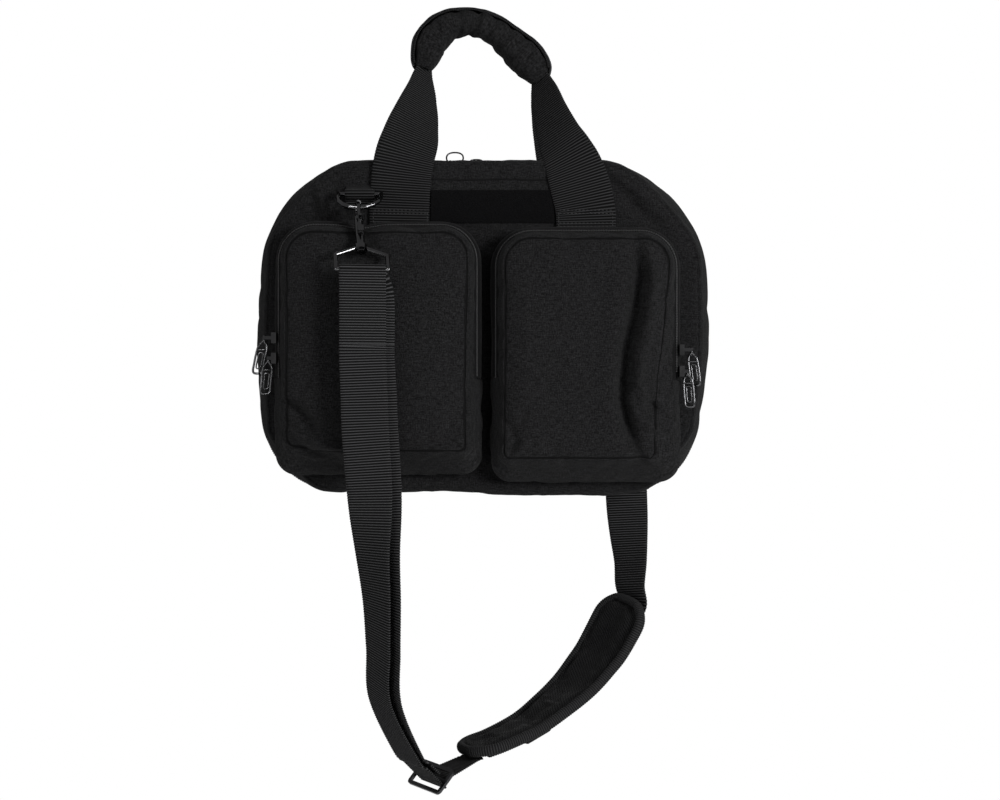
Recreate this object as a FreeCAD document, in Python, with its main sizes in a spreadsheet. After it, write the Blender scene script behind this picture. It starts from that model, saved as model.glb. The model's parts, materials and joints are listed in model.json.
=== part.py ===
"""Flight bag: a soft clamshell bag with two front pockets, a wrapped carry handle and a shoulder strap.

Frame: X to the bag's right as seen from the front, Y to the back, Z up, millimetres.
The origin is the middle of the base, on the plane of the main zipper.
"""
import FreeCAD
import Part
import math
import os

V = FreeCAD.Vector
doc = FreeCAD.newDocument("flight_bag")
sheet = doc.addObject("Spreadsheet::Sheet", "sizes")

SIZES = [
    ("bag_width", 380.0), ("bag_height", 281.0), ("bag_top_radius", 78.0), ("bag_base_radius", 46.0),
    ("half_depth", 50.0), ("wall", 4.0), ("zip_half", 1.0), ("zip_wide", 5.0), ("zip_stop", 118.0),
    ("lining_gap", 8.0), ("foam_thick", 2.0), ("board_thick", 2.0),
    ("pocket_seam", 75.0), ("pocket_face", 92.0), ("pocket_wall", 3.0), ("pocket_hinge", 94.0),
    ("pocket_radius", 32.0), ("pocket_base_radius", 15.0), ("pocket_chamfer", 10.0), ("pocket_step", 14.0),
    ("left_pocket_low", 19.0), ("left_pocket_high", 220.0),
    ("left_pocket_outer", -174.0), ("left_pocket_inner", -5.0),
    ("right_pocket_low", 8.0), ("right_pocket_high", 220.0),
    ("right_pocket_inner", 4.0), ("right_pocket_outer", 163.0),
    ("tape_half", 0.7), ("handle_wide", 50.8), ("handle_thick", 2.2),
    ("strap_wide", 38.1), ("strap_thick", 1.5),
    ("grip_radius", 51.0), ("grip_height", 350.0), ("grip_centre", -4.0),
    ("grip_wide", 44.0), ("grip_deep", 20.0), ("grip_wall", 3.0),
    ("ring_wire", 4.0), ("ring_inside", 32.0), ("ring_drop", 24.0), ("ring_height", 252.0),
    ("ring_clearance", 0.06), ("front_ring_centre", -106.0), ("rear_ring_centre", 128.0),
    ("ring_tilt", 55.0), ("ring_stand", 58.0), ("hook_tilt", 36.0), ("hook_lean", 6.0),
    ("frame_wide", 46.0), ("frame_wire", 3.6), ("frame_tall", 15.0), ("hook_reach", 68.0),
    ("pad_wide", 52.0), ("pad_thick", 9.0), ("pad_edge_wide", 60.0), ("pad_edge_thick", 6.5),
    ("pull_long", 30.0), ("pull_wide", 8.5), ("pull_thick", 1.5), ("pull_hole", 3.2),
    ("slider_long", 9.0), ("slider_wide", 9.0), ("slider_high", 4.2),
    ("buckle_wide", 48.0), ("buckle_tall", 25.0), ("buckle_wire", 3.4),
    ("loop_panel_thick", 1.6),
]
for row, (name, value) in enumerate(SIZES, start=1):
    sheet.set("A%d" % row, name)
    sheet.set("B%d" % row, repr(value))
    sheet.setAlias("B%d" % row, name)
doc.recompute()


def size(name):
    """The number a sheet cell holds."""
    return float(sheet.get(name))


def plane_of(body, role):
    """One of the body's own origin planes."""
    for feature in body.Origin.OriginFeatures:
        if feature.Role == role:
            return feature
    raise ValueError(role)


def new_body(label):
    """An empty PartDesign body with its label."""
    body = doc.addObject("PartDesign::Body", label)
    body.Label = label
    return body


def new_sketch(body, role, offset):
    """A sketch lying on one of the body's origin planes, moved along the plane's normal."""
    sketch = body.newObject("Sketcher::SketchObject", body.Name + "_sketch")
    sketch.AttachmentSupport = [(plane_of(body, role), "")]
    sketch.MapMode = "FlatFace"
    sketch.AttachmentOffset = FreeCAD.Placement(V(0, 0, offset), FreeCAD.Rotation())
    return sketch


def rounded(corners, inset=0.0):
    """Lines and arcs of a polygon whose corners (x, z, radius) are rounded; inset moves it inward.

    The corners are axis-aligned rectangle corners listed anticlockwise from the lower left.
    """
    signs = [(1, 1), (-1, 1), (-1, -1), (1, -1)]
    centres = []
    for (x, z, radius), (sx, sz) in zip(corners, signs):
        radius = max(radius, inset + 0.5) if radius > 0 else 0
        centres.append((x + sx * radius, z + sz * radius, radius - inset if radius else 0, sx, sz))
        if not radius:
            centres[-1] = (x + sx * inset, z + sz * inset, 0, sx, sz)
    pieces = []
    starts = [180, 270, 0, 90]
    ends = []
    for (cx, cz, radius, sx, sz), start in zip(centres, starts):
        if radius:
            begin = math.radians(start)
            finish = math.radians(start + 90)
            first = V(cx + radius * math.cos(begin), cz + radius * math.sin(begin), 0)
            last = V(cx + radius * math.cos(finish), cz + radius * math.sin(finish), 0)
            circle = Part.Circle(V(cx, cz, 0), V(0, 0, 1), radius)
            pieces.append(Part.ArcOfCircle(circle, begin, finish))
        else:
            first = V(cx, cz, 0)
            last = first
        ends.append((first, last))
    for index in range(4):
        a = ends[index][1]
        b = ends[(index + 1) % 4][0]
        if (a - b).Length > 1e-6:
            pieces.append(Part.LineSegment(a, b))
    return pieces


def pad(body, outlines, near, far, cell=None):
    """A pad from y = near to y = far made of closed outlines on the XZ plane."""
    sketch = new_sketch(body, "XZ_Plane", -near)
    for outline in outlines:
        sketch.addGeometry(outline, False)
    feature = body.newObject("PartDesign::Pad", body.Name + "_pad")
    feature.Profile = sketch
    feature.Length = abs(far - near)
    feature.Reversed = far > near
    if cell:
        feature.setExpression("Length", cell)
    sketch.Visibility = False
    body.Tip = feature
    return feature


def done(obj, label=None):
    """Name a finished sub-part and keep it for the export."""
    obj.Label = label or obj.Name
    NODES.append(obj)
    return obj


def feature_of(shape, label):
    """A Part feature holding a shape made by Part functions, placed in the bag's frame."""
    obj = doc.addObject("Part::Feature", label)
    obj.Shape = shape
    obj.Placement = shape.Placement
    return done(obj, label)


def box_object(label, low, high, cells=(None, None, None)):
    """A Part box between two corners, with optional sheet expressions for its sides."""
    obj = doc.addObject("Part::Box", label)
    obj.Length = high[0] - low[0]
    obj.Width = high[1] - low[1]
    obj.Height = high[2] - low[2]
    for side, cell in zip(("Length", "Width", "Height"), cells):
        if cell:
            obj.setExpression(side, cell)
    obj.Placement = FreeCAD.Placement(V(*low), FreeCAD.Rotation())
    return obj


def cylinder_between(start, end, radius):
    """A plain cylinder shape between two points."""
    axis = V(*end) - V(*start)
    return Part.makeCylinder(radius, axis.Length, V(*start), axis)


def fused(shapes):
    """One solid out of touching solids."""
    result = shapes[0].fuse(shapes[1:]).removeSplitter()
    return result.Solids[0] if len(result.Solids) == 1 else result


def stations(points, widths, level=False):
    """Centre, tangent, width and normal direction at each point of a webbing path.

    A level path keeps its width directions as given, so its edges don't tilt where it bends sideways.
    """
    frames = []
    for index, point in enumerate(points):
        before = V(*points[max(index - 1, 0)])
        after = V(*points[min(index + 1, len(points) - 1)])
        tangent = (after - before).normalize()
        wide = V(*widths[index])
        if not level:
            wide = wide - tangent * wide.dot(tangent)
        wide = wide.normalize()
        frames.append((V(*point), tangent, wide, tangent.cross(wide).normalize()))
    return frames


def ribbon(points, widths, wide, thick, shift=0.0, extend=0.0, level=False):
    """A ribbon of webbing: rectangles lofted along a path, shifted along its face normal."""
    frames = stations(points, widths, level)
    if extend:
        centre, tangent, side, normal = frames[0]
        frames[0] = (centre - tangent * extend, tangent, side, normal)
        centre, tangent, side, normal = frames[-1]
        frames[-1] = (centre + tangent * extend, tangent, side, normal)
    spans = wide if isinstance(wide, list) else [wide] * len(points)
    shifts = shift if isinstance(shift, list) else [shift] * len(points)
    wires = []
    for (centre, tangent, side, normal), span, move in zip(frames, spans, shifts):
        middle = centre + normal * move
        corners = []
        for a, b in ((-1, -1), (1, -1), (1, 1), (-1, 1)):
            corners.append(middle + side * (a * span / 2) + normal * (b * thick / 2))
        wires.append(Part.makePolygon(corners + [corners[0]]))
    return Part.makeLoft(wires, True, True)


def open_ring(corners, inset, stop):
    """A ring along a rounded outline, left open along the base between x = -stop and x = stop."""
    low = corners[0][1]
    ring = []
    for piece in rounded(corners) + rounded(corners, inset):
        ends = (piece.StartPoint, piece.EndPoint)
        on_base = [abs(p.y - low) < 1e-6 or abs(p.y - low - inset) < 1e-6 for p in ends]
        if not all(on_base):
            ring.append(piece)
    for sign in (-1, 1):
        start = sign * (abs(corners[0][0]) - corners[0][2])
        ring.append(Part.LineSegment(V(start, low, 0), V(sign * stop, low, 0)))
        ring.append(Part.LineSegment(V(sign * stop, low, 0), V(sign * stop, low + inset, 0)))
        ring.append(Part.LineSegment(V(sign * stop, low + inset, 0), V(start, low + inset, 0)))
    return ring


NODES = []
width = size("bag_width")
height = size("bag_height")
depth = size("half_depth")
wall = size("wall")
top_radius = size("bag_top_radius")
base_radius = size("bag_base_radius")
half = width / 2
BAG = [(-half, 0, base_radius), (half, 0, base_radius),
       (half, height, top_radius), (-half, height, top_radius)]

# ---------------------------------------------------------------- shells, zipper and lining
for side, sign in (("front", -1), ("rear", 1)):
    panel = new_body(side + "_panel")
    pad(panel, [rounded(BAG)], sign * (depth - wall), sign * depth, "sizes.wall")
    done(panel)
    gusset = new_body(side + "_gusset")
    pad(gusset, [rounded(BAG), rounded(BAG, wall)], sign * size("zip_half"), sign * (depth - wall))
    done(gusset)
    foam = new_body(side + "_foam_panel")
    gap = size("lining_gap")
    foam_far = depth - wall
    foam_near = foam_far - size("foam_thick")
    pad(foam, [rounded(BAG, gap)], sign * foam_near, sign * foam_far, "sizes.foam_thick")
    done(foam)
    tape = new_body("main_zip_" + side)
    pad(tape, [open_ring(BAG, size("zip_wide"), size("zip_stop"))], sign * 0.05, sign * size("zip_half"))
    done(tape)

board = box_object("base_board", (-138, -43, wall), (138, -3, wall + 2), ("276", "40", "sizes.board_thick"))
done(board)
strip = box_object("base_hinge_strip", (-117, -0.9, 0), (117, 0.9, 0.8))
done(strip)
divider = new_body("rear_inner_pocket")
INNER = [(-150, 24, 12), (150, 24, 12), (150, 178, 12), (-150, 178, 12)]
pad(divider, [rounded(INNER)], 40.0, 42.0)
pad(divider, [rounded(INNER), rounded(INNER, 6)], 42.0, depth - wall - size("foam_thick"))
done(divider)

loop_panel = new_body("loop_panel")
LABEL = [(-41.0, 227.5, 1.5), (54.0, 227.5, 1.5), (54.0, 257, 1.5), (-41.0, 257, 1.5)]
pad(loop_panel, [rounded(LABEL)], -depth, -depth - size("loop_panel_thick"), "sizes.loop_panel_thick")
done(loop_panel)

# ---------------------------------------------------------------- the two front pockets
seam = size("pocket_seam")
face = size("pocket_face")
hinge = size("pocket_hinge")
shell = size("pocket_wall")
step = size("pocket_step")
tape_half = size("tape_half")


def arch(x0, x1, high, top, inset):
    """A closed arch over a pocket's zipper line, its legs ending just above the hinge line."""
    foot = hinge + 0.6
    out = rounded([(x0, foot, 0), (x1, foot, 0), (x1, high, top), (x0, high, top)])
    inn = rounded([(x0 + inset, foot, 0), (x1 - inset, foot, 0),
                   (x1 - inset, high - inset, top - inset), (x0 + inset, high - inset, top - inset)])
    keep = []
    for g in out + inn:
        flat = abs(g.StartPoint.y - foot) < 1e-6 and abs(g.EndPoint.y - foot) < 1e-6
        if not flat:
            keep.append(g)
    keep.append(Part.LineSegment(V(x0, foot, 0), V(x0 + inset, foot, 0)))
    keep.append(Part.LineSegment(V(x1 - inset, foot, 0), V(x1, foot, 0)))
    return keep


for side, x0, x1 in (
    ("left", size("left_pocket_outer"), size("left_pocket_inner")),
    ("right", size("right_pocket_inner"), size("right_pocket_outer")),
):
    low = size(side + "_pocket_low")
    high = size(side + "_pocket_high")
    top = size("pocket_radius")
    base = size("pocket_base_radius")
    whole = [(x0, low, base), (x1, low, base), (x1, high, top), (x0, high, top)]
    lower = [(x0, low, base), (x1, low, base), (x1, hinge, 0), (x0, hinge, 0)]
    upper_in = [(x0, hinge + 0.6, 0), (x1, hinge + 0.6, 0), (x1, high, top), (x0, high, top)]
    body = new_body(side + "_pocket_body")
    pad(body, [rounded(whole), rounded(whole, shell)], -depth, -seam)
    cup = [(x0 + shell, low + shell, base - shell), (x1 - shell, low + shell, base - shell),
           (x1 - shell, hinge, 0), (x0 + shell, hinge, 0)]
    # The lower front of the pocket: a tray open at the top, added as two side-and-base bands.
    tray = new_sketch(body, "XZ_Plane", seam)
    outer = rounded(lower)
    inner = rounded(cup)
    tray.addGeometry([g for g in outer[:2]] + [g for g in outer[2:] if not (
        abs(g.StartPoint.y - hinge) < 1e-6 and abs(g.EndPoint.y - hinge) < 1e-6)], False)
    tray.addGeometry([g for g in inner[:2]] + [g for g in inner[2:] if not (
        abs(g.StartPoint.y - hinge) < 1e-6 and abs(g.EndPoint.y - hinge) < 1e-6)], False)
    tray.addGeometry([Part.LineSegment(V(x0, hinge, 0), V(x0 + shell, hinge, 0)),
                      Part.LineSegment(V(x1 - shell, hinge, 0), V(x1, hinge, 0))], False)
    band = body.newObject("PartDesign::Pad", body.Name + "_tray")
    band.Profile = tray
    band.Length = face - shell - seam
    tray.Visibility = False
    body.Tip = band
    pad(body, [rounded(lower)], -(face - shell), -face, "sizes.pocket_wall")
    done(body)

    flap = new_body(side + "_pocket_flap")
    pad(flap, [arch(x0, x1, high, top, shell + 1)], -(seam + 2 * tape_half + 0.1), -(face - shell - 6))
    pad(flap, [arch(x0, x1, high, top, step)], -(face - shell - 6), -(face - shell))
    front = pad(flap, [rounded(upper_in)], -(face - shell), -face, "sizes.pocket_wall")
    doc.recompute()
    names = []
    for number, edge in enumerate(front.Shape.Edges, start=1):
        box = edge.BoundBox
        on_face = abs(box.YMin + face) < 1e-6 and abs(box.YMax + face) < 1e-6
        on_hinge = abs(box.ZMax - hinge - 0.6) < 1e-6
        if on_face and not on_hinge:
            names.append("Edge%d" % number)
    slope = flap.newObject("PartDesign::Chamfer", flap.Name + "_slope")
    slope.Base = (front, names)
    slope.Size = size("pocket_chamfer")
    slope.setExpression("Size", "sizes.pocket_chamfer")
    flap.Tip = slope
    done(flap)

    flap_tape = seam + tape_half + 0.1
    for part, near in (("zip_body", seam), ("zip_flap", flap_tape)):
        coil = new_body(side + "_pocket_" + part)
        pad(coil, [arch(x0, x1, high, top, shell)], -near, -near - tape_half)
        done(coil)

# ---------------------------------------------------------------- handles and grip
handle_wide = size("handle_wide")
handle_thick = size("handle_thick")
centre = size("grip_centre")
grip_radius = size("grip_radius")
grip_high = size("grip_height")
LEFT_LEG = [(-70, -52.6, 224, 0), (-69, -52.6, 255, 0), (-68.3, -52.6, 288, 0), (-63.5, -46, 311, 26),
            (-59.5, -34, 335, 54), (-57, -18, 350, 76)]
RIGHT_LEG = [(49, -18, 350, 76), (54, -34, 336, 54), (61, -46, 312, 32), (73, -52.6, 287, 0),
             (83, -52.6, 255, 0), (86, -52.6, 224, 0)]
OVER = [167, 161, 140, 120, 100, 80, 60, 40, 19, 13]


def handle(sign, offset, foot):
    """One handle: flat on its panel, twisting to run across the grip, and down again."""
    points = []
    widths = []
    spans = []
    for x, y, z, turn in LEFT_LEG:
        share = turn / 90.0
        points.append((x - offset * share, -sign * y, z))
        widths.append((math.cos(math.radians(turn)), -math.sin(math.radians(turn)), 0))
        spans.append(handle_wide - 6 * share)
    for degrees in OVER:
        turn = math.radians(degrees)
        radius = grip_radius + offset
        points.append((centre + radius * math.cos(turn), 0, grip_high + radius * math.sin(turn)))
        widths.append((0, -1, 0))
        spans.append(34.0)
    for x, y, z, turn in RIGHT_LEG:
        share = turn / 90.0
        points.append((x + offset * share, -sign * y, z))
        widths.append((-math.cos(math.radians(turn)), -math.sin(math.radians(turn)), 0))
        spans.append(handle_wide - 6 * share)
    points[0] = (points[0][0], points[0][1], foot)
    points[-1] = (points[-1][0], points[-1][1], foot)
    return points, widths, spans


for side, sign, offset, foot in (("front", -1, 3.0, 224.0), ("rear", 1, -3.0, 170.0)):
    points, widths, spans = handle(sign, offset, foot)
    feature_of(ribbon(points, widths, spans, handle_thick, level=True), side + "_handle")

grip_half = size("grip_wide") / 2
grip_wall = size("grip_wall")
grip_in = grip_radius - size("grip_deep") / 2
grip_out = grip_radius + size("grip_deep") / 2


def grip_part(label, outline):
    """A partial ring over the handles: a section across the grip turned about the grip's centre."""
    body = new_body(label)
    sketch = new_sketch(body, "YZ_Plane", centre)
    for index, (y, radius) in enumerate(outline):
        y2, radius2 = outline[(index + 1) % len(outline)]
        start = V(y, grip_high + radius, 0)
        sketch.addGeometry(Part.LineSegment(start, V(y2, grip_high + radius2, 0)), False)
    sketch.addGeometry(Part.LineSegment(V(-40, grip_high, 0), V(40, grip_high, 0)), True)
    turned = body.newObject("PartDesign::Revolution", label + "_turn")
    turned.Profile = sketch
    turned.ReferenceAxis = (sketch, ["Axis0"])
    turned.Angle = 138
    turned.Midplane = True
    sketch.Visibility = False
    body.Tip = turned
    return done(body)


grip_part("grip_wrap", [(-grip_half, grip_in), (grip_half, grip_in), (grip_half, grip_in + grip_wall),
                        (-grip_half + grip_wall, grip_in + grip_wall),
                        (-grip_half + grip_wall, grip_out - grip_wall), (-grip_half, grip_out - grip_wall)])
grip_part("grip_flap", [(-grip_half, grip_out), (grip_half, grip_out), (grip_half, grip_in + grip_wall),
                        (grip_half - grip_wall, grip_in + grip_wall),
                        (grip_half - grip_wall, grip_out - grip_wall), (-grip_half, grip_out - grip_wall)])


# ---------------------------------------------------------------- rings, hooks and webbing loops
def rods(points, radius, closed=False):
    """Round wire bent through a list of points: cylinders with a ball at every bend."""
    chain = list(points) + ([points[0]] if closed else [])
    shapes = [cylinder_between(a, b, radius) for a, b in zip(chain, chain[1:])]
    balls = points if closed else points[1:-1]
    shapes += [Part.makeSphere(radius, V(*p)) for p in balls]
    return fused(shapes)


def tube(start, end, outside, inside):
    """A straight tube between two points."""
    return cylinder_between(start, end, outside).cut(cylinder_between(start, end, inside))


def placed(shape, label, base, rotation):
    """A Part feature with its shape in its own frame and its pose kept in the placement."""
    obj = doc.addObject("Part::Feature", label)
    obj.Shape = shape
    obj.Placement = FreeCAD.Placement(V(*base), rotation)
    return done(obj, label)


def hanging(tilt, lean):
    """A rotation that tilts a hanging part towards -Y or +Y and leans it to +X, keeping its X axis level."""
    up = FreeCAD.Rotation(V(1, 0, 0), tilt).multVec(V(0, 0, 1))
    up = V(-math.tan(math.radians(lean)), up.y, up.z).normalize()
    across = V(abs(up.y), -up.x, 0).normalize() if lean else V(1, 0, 0)
    return FreeCAD.Rotation(across, V(0, 0, 0), up, "ZXY")


wire = size("ring_wire") / 2
ring_half = size("ring_inside") / 2 + wire
clear = size("ring_clearance")
drop = size("ring_drop")
bolt = 1.6
reach = size("hook_reach")
knee = reach - size("frame_tall")
frame_half = size("frame_wide") / 2 - size("frame_wire") / 2
frame_wire = size("frame_wire") / 2
strap_wide = size("strap_wide")
strap_thick = size("strap_thick")
bars = {}
for side, sign, x, ring_tilt, hook_tilt, hook_lean in (
    ("front", -1, size("front_ring_centre"), -size("ring_tilt"), -size("hook_tilt"), size("hook_lean")),
    ("rear", 1, size("rear_ring_centre"), 8.0, 0.0, 0.0),
):
    hook_turn = hanging(hook_tilt, hook_lean)
    y = sign * size("ring_stand")
    z = size("ring_height")
    tab_tube = cylinder_between((x - 11, y, z), (x + 11, y, z), wire + 2.4)
    tab_plate = Part.makeBox(22, 5, 18, V(x - 11, min(sign * depth, sign * (depth + 5)), z - 12))
    tab = tab_tube.fuse(tab_plate).cut(cylinder_between((x - 15, y, z), (x + 15, y, z), wire + clear))
    feature_of(tab.removeSplitter().Solids[0], side + "_d_ring_tab")
    arc = [(-ring_half, 0, 0), (-ring_half, 0, -6)]
    for count in range(1, 8):
        turn = math.radians(180 + 180 * count / 8.0)
        arc.append((ring_half * math.cos(turn), 0, -6 + (drop - 6) * math.sin(turn)))
    arc += [(ring_half, 0, -6), (ring_half, 0, 0)]
    placed(rods(arc, wire, True), side + "_d_ring", (x, y, z), FreeCAD.Rotation(V(1, 0, 0), ring_tilt))
    low_y = y + math.sin(math.radians(ring_tilt)) * drop
    low_z = z - math.cos(math.radians(ring_tilt)) * drop
    # The hook: an eye over the ring's wire, a body with the bolt beside it, a stud for the collar.
    bend = [(0, 0, -13), (0, -sign * 5, -9)]
    for count in range(0, 8):
        turn = math.radians(200 - 26 * count)
        bend.append((0, sign * 6.6 * math.cos(turn), -2.2 + 6.6 * math.sin(turn)))
    hook = rods(bend, 2.1)
    body_rod = cylinder_between((0, 0, -12), (0, 0, -42), 3.6)
    lug = Part.makeBox(5.0, 8.6, 6, V(-2.5, min(0, sign * 8.6), -33))
    stud = cylinder_between((0, 0, -42), (0, 0, -48.2), 2.0)
    head = cylinder_between((0, 0, -48.2), (0, 0, -50), 3.2)
    hook = fused([hook, body_rod, lug, stud, head])
    hook = hook.cut(cylinder_between((0, sign * 6.6, -50), (0, sign * 6.6, -10), bolt + clear))
    placed(hook.removeSplitter().Solids[0], side + "_snap_hook", (x, low_y, low_z), hook_turn)
    gate = fused([cylinder_between((0, sign * 6.6, -3.2), (0, sign * 6.6, -35), bolt),
                  cylinder_between((0, sign * 6.6, -18), (0, sign * 6.6, -20), 2.9),
                  cylinder_between((0, sign * 6.6, -19), (0, sign * 12.5, -19), 1.3)])
    placed(gate, side + "_snap_bolt", (x, low_y, low_z), hook_turn)
    collar = tube((0, 0, -47.8), (0, 0, -43), 5.0, 2.0 + clear)
    left = rods([(-4.4, 0, -45.5), (-frame_half, 0, -knee), (-frame_half, 0, -reach)], frame_wire)
    right = rods([(4.4, 0, -45.5), (frame_half, 0, -knee), (frame_half, 0, -reach)], frame_wire)
    bar = rods([(-frame_half, 0, -reach), (frame_half, 0, -reach)], frame_wire)
    knees = [Part.makeSphere(frame_wire, V(s * frame_half, 0, -reach)) for s in (-1, 1)]
    frame = fused([collar, left, right, bar] + knees)
    frame = frame.cut(cylinder_between((0, 0, -52), (0, 0, -40), 2.0 + clear))
    placed(frame.removeSplitter().Solids[0], side + "_strap_frame", (x, low_y, low_z), hook_turn)
    bar_at = V(x, low_y, low_z) + hook_turn.multVec(V(0, 0, -reach))
    level = hook_turn.multVec(V(1, 0, 0))
    bars[side] = (bar_at, FreeCAD.Rotation(V(0, 0, 1), math.degrees(math.atan2(level.y, level.x))))

for side, sign, low in (("front", -1, 122.0), ("rear", 1, -30.0)):
    spot, turn = bars[side]
    fall = spot.z - low
    loop = cylinder_between((-strap_wide / 2, 0, 0), (strap_wide / 2, 0, 0), frame_wire + strap_thick)
    hang = Part.makeBox(strap_wide, 2 * strap_thick, fall, V(-strap_wide / 2, -strap_thick, -fall))
    loop = loop.fuse(hang).cut(cylinder_between((-30, 0, 0), (30, 0, 0), frame_wire + 0.02))
    placed(loop.removeSplitter().Solids[0], side + "_strap_end", (spot.x, spot.y, spot.z), turn)

# ---------------------------------------------------------------- the long strap, its slider and its pad
slider_at = V(-46, -45, -246)
along = V(32, 25, -39).normalize()
buckle_side = V(0.69, -0.72, -0.15)
buckle_side = (buckle_side - along * buckle_side.dot(along)).normalize()
buckle_normal = along.cross(buckle_side)
fx, fy, fz = bars["front"][0]
FALL = [(fx, fy, 112.0, -8, 0.9), (fx + 2, fy + 1, 50.0, -2, 0.9), (fx + 6, fy + 3, 4.0, 10, 1.0),
        (-90, -111, -45, 38, 1.4), (-86, -106, -87, 50, 2.0), (-85, -98, -129, 56, 2.4),
        (-84, -87, -173, 58, 2.4)]
points = [(x, y, z) for x, y, z, turn, pitch in FALL]
widths = [(math.cos(math.radians(turn)), -math.sin(math.radians(turn)), 0) for x, y, z, turn, pitch in FALL]
pitches = [pitch for x, y, z, turn, pitch in FALL]
for back in (34.0, 22.0, -5.0):
    spot = slider_at - along * back
    points.append((spot.x, spot.y, spot.z))
    widths.append((buckle_side.x, buckle_side.y, buckle_side.z))
    pitches.append(2.6)
feature_of(ribbon(points, widths, strap_wide, strap_thick, [-p for p in pitches]), "strap_outer_layer")
feature_of(ribbon(points, widths, strap_wide, strap_thick, pitches), "strap_inner_layer")


def oriented(shape, base, side, normal, direction):
    """Move a shape built along X, Y, Z to a base with its axes along side, normal, direction."""
    matrix = FreeCAD.Matrix(side.x, normal.x, direction.x, base.x,
                            side.y, normal.y, direction.y, base.y,
                            side.z, normal.z, direction.z, base.z, 0, 0, 0, 1)
    moved = shape.copy()
    moved.Placement = FreeCAD.Placement(matrix)
    return moved


buckle_wide = size("buckle_wide")
buckle_tall = size("buckle_tall")
buckle_wire = size("buckle_wire")
plate = Part.makeBox(buckle_wide, buckle_tall, 2.4, V(-buckle_wide / 2, -buckle_tall / 2, -1.2))
upright = [edge for edge in plate.Edges if abs(edge.tangentAt(edge.FirstParameter).z) > 0.9]
plate = plate.makeFillet(4.0, upright)
slot_wide = buckle_wide - 2 * buckle_wire
slot_tall = (buckle_tall - 2 * buckle_wire - 3.2) / 2
for sign in (-1, 1):
    slot_low = 1.6 if sign > 0 else -1.6 - slot_tall
    slot = Part.makeBox(slot_wide, slot_tall, 4, V(-slot_wide / 2, slot_low, -2))
    plate = plate.cut(slot)
plate = oriented(plate, slider_at, buckle_side, buckle_normal, along)
feature_of(plate.Solids[0], "strap_slider")

PAD = [(129, 47, -108, 52), (108, 41, -146, 54), (95, 36, -163.5, 56), (79, 28, -181, 60),
       (58, 17, -197.5, 66),
       (37, 6, -211, 72), (9, -8, -222, 80), (-15, -18, -228, 84)]
pad_points = [(x, y, z) for x, y, z, turn in PAD]
pad_widths = [(math.cos(math.radians(turn)), -math.sin(math.radians(turn)), 0) for x, y, z, turn in PAD]
pad_core = ribbon(pad_points, pad_widths, size("pad_wide"), size("pad_thick"))
feature_of(pad_core, "shoulder_pad")
pad_edge = ribbon(pad_points, pad_widths, size("pad_edge_wide"), size("pad_edge_thick"), 0.0, 4.0)
feature_of(pad_edge.cut(pad_core), "pad_binding")
under = -(size("pad_thick") / 2 + 2.0)
frames = stations(pad_points, pad_widths)
rear_bar = bars["rear"][0]
back_points = [(rear_bar.x, rear_bar.y, -92.0), (rear_bar.x, rear_bar.y - 1.0, -98.0)]
back_widths = [(1, 0, 0), (0.97, -0.2, 0)]
feature_of(ribbon(back_points, back_widths, strap_wide, 2 * strap_thick), "strap_rear_lower")
spots = []
for spot, tangent, side_way, normal in frames:
    lowered = spot + normal * under
    spots.append((lowered.x, lowered.y, lowered.z))
feature_of(ribbon(spots, pad_widths, strap_wide, strap_thick), "strap_under_pad")
keeper_shapes = []
for index, label in ((2, "pad_keeper_upper"), (5, "pad_keeper_lower")):
    spot, tangent, side_way, normal = frames[index]
    bridge = Part.makeBox(46, 1.2, 10, V(-23, -1.2, -5))
    legs = [Part.makeBox(2.4, 2.8, 10, V(x, 0, -5)) for x in (-23, 20.6)]
    keeper = fused([bridge] + legs)
    base = spot + normal * (under - strap_thick / 2 - 0.6)
    feature_of(oriented(keeper, base, side_way, normal, side_way.cross(normal)), label)

# ---------------------------------------------------------------- zipper sliders and pulls
pin = 1.0
slider_half = size("slider_long") / 2
slider_high = size("slider_high")
pull_long = size("pull_long")
pull_half = size("pull_wide") / 2
pull_thick = size("pull_thick")
zip_y = -(seam + tape_half)


def zip_slider(label, wall_x, sign, z, stand):
    """A slider on the outside of a pocket wall, with two lugs and a pin for its pull."""
    start = wall_x + sign * 0.2
    slider_x = min(start, start + sign * slider_high)
    slider_y = zip_y - size("slider_wide") / 2
    block = Part.makeBox(slider_high, size("slider_wide"), 2 * slider_half, V(slider_x, slider_y, z - slider_half))
    pin_x = wall_x + sign * stand
    shapes = [block]
    for y in (3.5, -4.7):
        low = min(start + sign * slider_high * 0.5, pin_x + sign * 1.3)
        shapes.append(Part.makeBox(abs(pin_x + sign * 1.3 - start - sign * slider_high * 0.5), 1.2, 2.8,
                                   V(low, zip_y + y, z - 1.4)))
    shapes.append(cylinder_between((pin_x, zip_y - 4, z), (pin_x, zip_y + 4, z), pin))
    return feature_of(fused(shapes), label)


def zip_pull(label, x, z):
    """A paddle pull hanging from its pin, with a hole near its end."""
    eye = cylinder_between((x, zip_y - 3.2, z), (x, zip_y + 3.2, z), 2.1)
    neck = Part.makeBox(pull_thick, 5.0, 4.0, V(x - pull_thick / 2, zip_y - 2.5, z - 5.0))
    paddle_low = V(x - pull_thick / 2, zip_y - pull_half, z - pull_long)
    paddle = Part.makeBox(pull_thick, 2 * pull_half, pull_long - 3.5, paddle_low)
    shape = fused([eye, neck, paddle])
    shape = shape.cut(cylinder_between((x, zip_y - 4, z), (x, zip_y + 4, z), pin + clear))
    hole = Part.makeCylinder(size("pull_hole") / 2, 6, V(x - 3, zip_y, z - pull_long + 4.2), V(1, 0, 0))
    return feature_of(shape.cut(hole).removeSplitter().Solids[0], label)


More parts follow.
